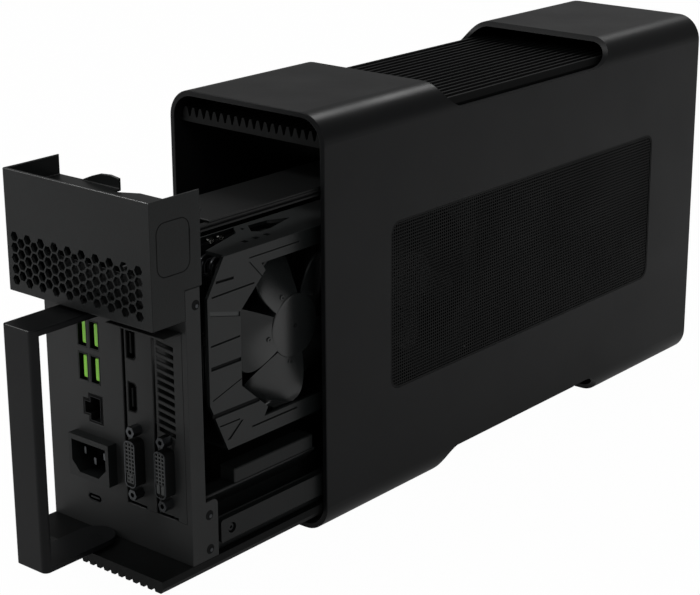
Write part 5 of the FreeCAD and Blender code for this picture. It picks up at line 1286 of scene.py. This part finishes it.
@dataclass
class Screws:
    """Screw heads on the tray's lugs, each on a dark disc of painted shade that stands for its well, and heads on
    the bracket's tab and in the slide bars.
    """

    shade_disc: Head = Head(2.5, 0.07, 0.02, 0.8, 0.02)
    side_head: Head = Head(0.9, 0.14, 0.1, 0.5, 0.16)
    side_off: Point = (0.07, 0.7, -0.7)
    side: float = 49.0
    places: tuple[tuple[float, float], ...] = ((-191.0, 147.7), (-186.0, 40.8), (-186.0, 23.1))
    tab_head: Head = Head(2.1, 0.7, 0.4, 0.5, 0.7)
    tab_reach: float = 1.9
    tab_lift: float = 0.35
    bar_head: Head = Head(2.2, 0.8, 0.3, 0.45, 0.6)
    bar_sunk: float = 1.6
    bar_along: float = 7.5

    def build(self) -> None:
        """Makes the dark discs of painted shade and the detailed heads in the place of the plain CAD ones."""
        rows = [(sign, y, z) for sign in (1.0, -1.0) for y, z in self.places]
        spots = [mm(sign * self.side, y, z) for sign, y, z in rows]
        facing = [(sign, 0.0, 0.0) for sign, _, _ in rows]
        # The wells are flat dark discs: painted shade.
        place_piece(self.shade_disc.make("side_screw_painted_shade", DULL_ABS_AND_SHADE, spots, facing), "tray", "dark_steel")
        out, along, down = self.side_off
        raised = [spot + mm(face[0] * out, along, down) for spot, face in zip(spots, facing)]
        heads = self.side_head.make("side_screw_heads", PLATED, raised, facing)
        place_piece(heads, "tray", "dark_steel", "side_screws")
        low, high = (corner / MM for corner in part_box("bracket_screws"))
        middle = (low[1] + high[1]) / 2
        ends = (low[0] + self.tab_reach, high[0] - self.tab_reach)
        spots = [mm(x, middle, low[2] + self.tab_lift) for x in ends]
        tab = self.tab_head.make("tab_screw_heads", OXIDE, spots, [UP] * len(spots))
        place_piece(tab, "tray", "dark_steel", "bracket_screws")
        low, high = (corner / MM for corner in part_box("right_slide_bar"))
        for name, sign in (("right_bar_screw", 1.0), ("left_bar_screw", -1.0)):
            spot = mm(sign * (high[0] - self.bar_sunk), low[1] + self.bar_along, (low[2] + high[2]) / 2)
            place_piece(self.bar_head.make(name, OXIDE, [spot], [(sign, 0.0, 0.0)]), "tray", "dark_steel")
        LOG.info("screws: %d on the sides, 2 on the tab, 2 in the bars", len(rows))


# Handle pins

@dataclass
class PivotPins:
    """The handle's two turned pins, slimmer than its bores so that it folds without rubbing."""

    radius: float = 2.42

    def build(self, frame: dict[str, Any]) -> None:
        """Makes both pins in place of the CAD ones, between the heights where those begin and end.
        """
        low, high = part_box("handle_pivot_pins")
        heights = sorted({round(vert.co.z, 6) for vert in frame["nodes"]["handle_pivot_pins"].data.vertices})
        gap, split = max((after - before, i) for i, (before, after) in enumerate(zip(heights, heights[1:])))
        x, y = (low[0] + high[0]) / 2, (low[1] + high[1]) / 2
        path = [Vector((x, y, z)) for z in (heights[0], heights[split], heights[split + 1], heights[-1])]
        pins = bent_pipe("turned_pivot_pins", ANODISED, path, [(0, 1), (2, 3)], self.radius, 0.0)
        place_piece(pins, "tray", "dark_steel", "handle_pivot_pins")
        LOG.info("pivot pins: two, %.0f mm apart", gap / MM)


# Eased pieces

@dataclass
class EasedPieces:
    """Folded, moulded and extruded CAD pieces with their sharp edges broken."""

    widths: dict[str, float] = field(default_factory=lambda: {
        "rear_bezel": 0.35, "ports_panel": 0.22, "latch_pad": 0.3, "card_bracket": 0.18,
        "chassis_top": 0.3, "side_support": 0.35, "riser_cover": 0.5, "inner_pan": 0.3,
        "left_slide_bar": 0.35, "right_slide_bar": 0.35, "cable_rail": 0.2, "end_wall": 0.25,
        "left_wall": 0.25, "power_supply": 0.6})

    def build(self, frame: dict[str, Any]) -> None:
        """Makes the eased copies.
        """
        record = frame["record"]
        slots = {row["node"]: row["material_slot"] for row in record["subparts"]}
        bodies = {node: name for name, members in record["behaviour"]["bodies"].items() for node in members}
        for name, width in self.widths.items():
            piece = eased_copy(frame["nodes"][name], width, NODE_FINISHES[name])
            place_piece(piece, bodies[name], slots[name], name)
        LOG.info("eased %d pieces", len(self.widths))


# Edges that catch the light, and painted light on faces

@dataclass
class PaintedLightRoof:
    """Thin skin on the upward faces of the shroud's roof, in a lighter colour that paints light on them."""

    lowest: float = 160.0
    upward: float = 0.9
    lift: float = 0.02
    thick: float = 0.03

    def build(self, frame: dict[str, Any]) -> None:
        """Makes the skin.
        """
        shape = bmesh.new()
        shape.from_mesh(frame["nodes"]["cooler_shroud"].data)
        bmesh.ops.remove_doubles(shape, verts=shape.verts, dist=CAD_WELD)
        left = [face for face in shape.faces
                if face.normal.z < self.upward or face.calc_center_median().z < self.lowest * MM]
        bmesh.ops.delete(shape, geom=left, context="FACES")
        bmesh.ops.translate(shape, vec=(0.0, 0.0, self.lift * MM), verts=shape.verts)
        bmesh.ops.solidify(shape, geom=shape.faces[:], thickness=-self.thick * MM)
        count = len(shape.faces)
        place_piece(from_bmesh("cooler_shroud_painted_light_skin", shape, ROOF_PAINTED_LIGHT), "tray", "dark_plastic")
        LOG.info("lit skin on the shroud: %d faces", count)


@dataclass
class EdgeBeads:
    """Lacquered beads in the broken top edges of the rear housing and the handle, and the latch pad's seam."""

    radius: float = 0.3
    turn: float = 5.0
    inset: float = 2.4
    seam_wide: float = 0.5
    seam_corner: float = 5.0
    seam_deep: float = -0.3
    proud: float = 0.06

    def build(self) -> None:
        """Makes one bead along each front top edge, and the seam."""
        for node, body, slot, inset in (("rear_bezel", "tray", "black_panel", self.radius),
                                        ("handle", "handle", "black_anodised", self.inset)):
            low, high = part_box(node)
            near = low[1] + self.radius * MM
            top = high[2] - self.radius * MM
            x0, x1 = low[0] + inset * MM, high[0] - inset * MM
            path = [Vector((x0, near, top)), Vector((x1, near, top))]
            runs = [(0, 1)]
            if node == "rear_bezel":
                path.append(Vector((x1, near + self.turn * MM, top)))
                runs.append((1, 2))
            bead = bent_pipe(node + "_edge_bead", LACQUER, path, runs, self.radius, self.radius, smooth=50.0)
            place_piece(bead, body, slot)
        self.seam()
        LOG.info("edge beads and the pad's seam")

    def seam(self) -> None:
        """Makes the dark seam around the latch pad."""
        low, high = (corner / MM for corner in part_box("latch_pad"))
        _, y, z = (low + high) / 2
        section = ((0.0, self.proud), (self.seam_wide, self.proud),
                   (self.seam_wide, self.seam_deep), (0.0, self.seam_deep))
        half = ((high[1] - low[1]) / 2, (high[2] - low[2]) / 2)
        seam = round_ring("latch_seam", DULL_ABS_AND_SHADE, (high[0], y, z), half, self.seam_corner, section, axis=0)
        place_piece(seam, "tray", "black_panel")


# Finishes of the CAD nodes

WEARERS: dict[Finish, str] = {
    ANODISED: "sleeve front_cover handle handle_pivot_pins",
    POWDER: "rear_bezel inner_pan side_support latch_pad left_slide_bar right_slide_bar riser_cover power_inlet",
    PANEL_PAINT: "ports_panel card_bracket",
    INNER_COAT: "chassis_top end_wall left_wall riser_rails power_supply",
    # The base plate's darker mesh paint is painted shade.
    MESH_PAINT_AND_SHADE: "base_plate top_rib_panel side_mesh_panel",
    MATTE_ABS: "left_guide_rail right_guide_rail latch_guide cable_rail card_slot small_port_base "
               "rear_fan_mount front_fan_mount",
    SATIN_ABS: "cooler_shroud",
    DULL_ABS_AND_SHADE: "left_dvi_port right_dvi_port network_jack display_port hdmi_port",
    GLOSS_PBT: "rear_fan_rotor front_fan_rotor",
    RUBBER: "rubber_feet",
    SOLDER_MASK: "riser_board port_board card_board",
    GREEN_LCP_PAINTED_LIGHT: "usb_tongues",
    OXIDE: "usb_port_lower usb_port_upper small_port side_screws bracket_screws",
    PLATED: "inlet_blades jack_screws",
    FINS: "heatsink",
}
NODE_FINISHES: dict[str, Finish] = {node: finish for finish, nodes in WEARERS.items() for node in nodes.split()}


def dress(frame: dict[str, Any]) -> None:
    """Gives every CAD node its finish.
    """
    for name, obj in frame["nodes"].items():
        material = NODE_FINISHES[name].material()
        if not obj.material_slots:
            obj.data.materials.append(material)
        for entry in obj.material_slots:
            entry.material = material
    LOG.info("dressed %d nodes", len(frame["nodes"]))


def main() -> None:
    """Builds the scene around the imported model."""
    logging.basicConfig(level=logging.INFO, format="%(name)s: %(message)s")
    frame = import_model()
    bpy.context.scene.view_settings.view_transform = "Standard"
    dress(frame)
    for group in (Studio(), SideWindow(), RearConnectors(), VideoPorts(), FanWheel(), ShroudGrooveShading(), Cooler(),
                  Screws()):
        group.build()
    for group in (PivotPins(), EasedPieces(), PaintedLightRoof()):
        group.build(frame)
    EdgeBeads().build()


if __name__ == "__main__":
    main()
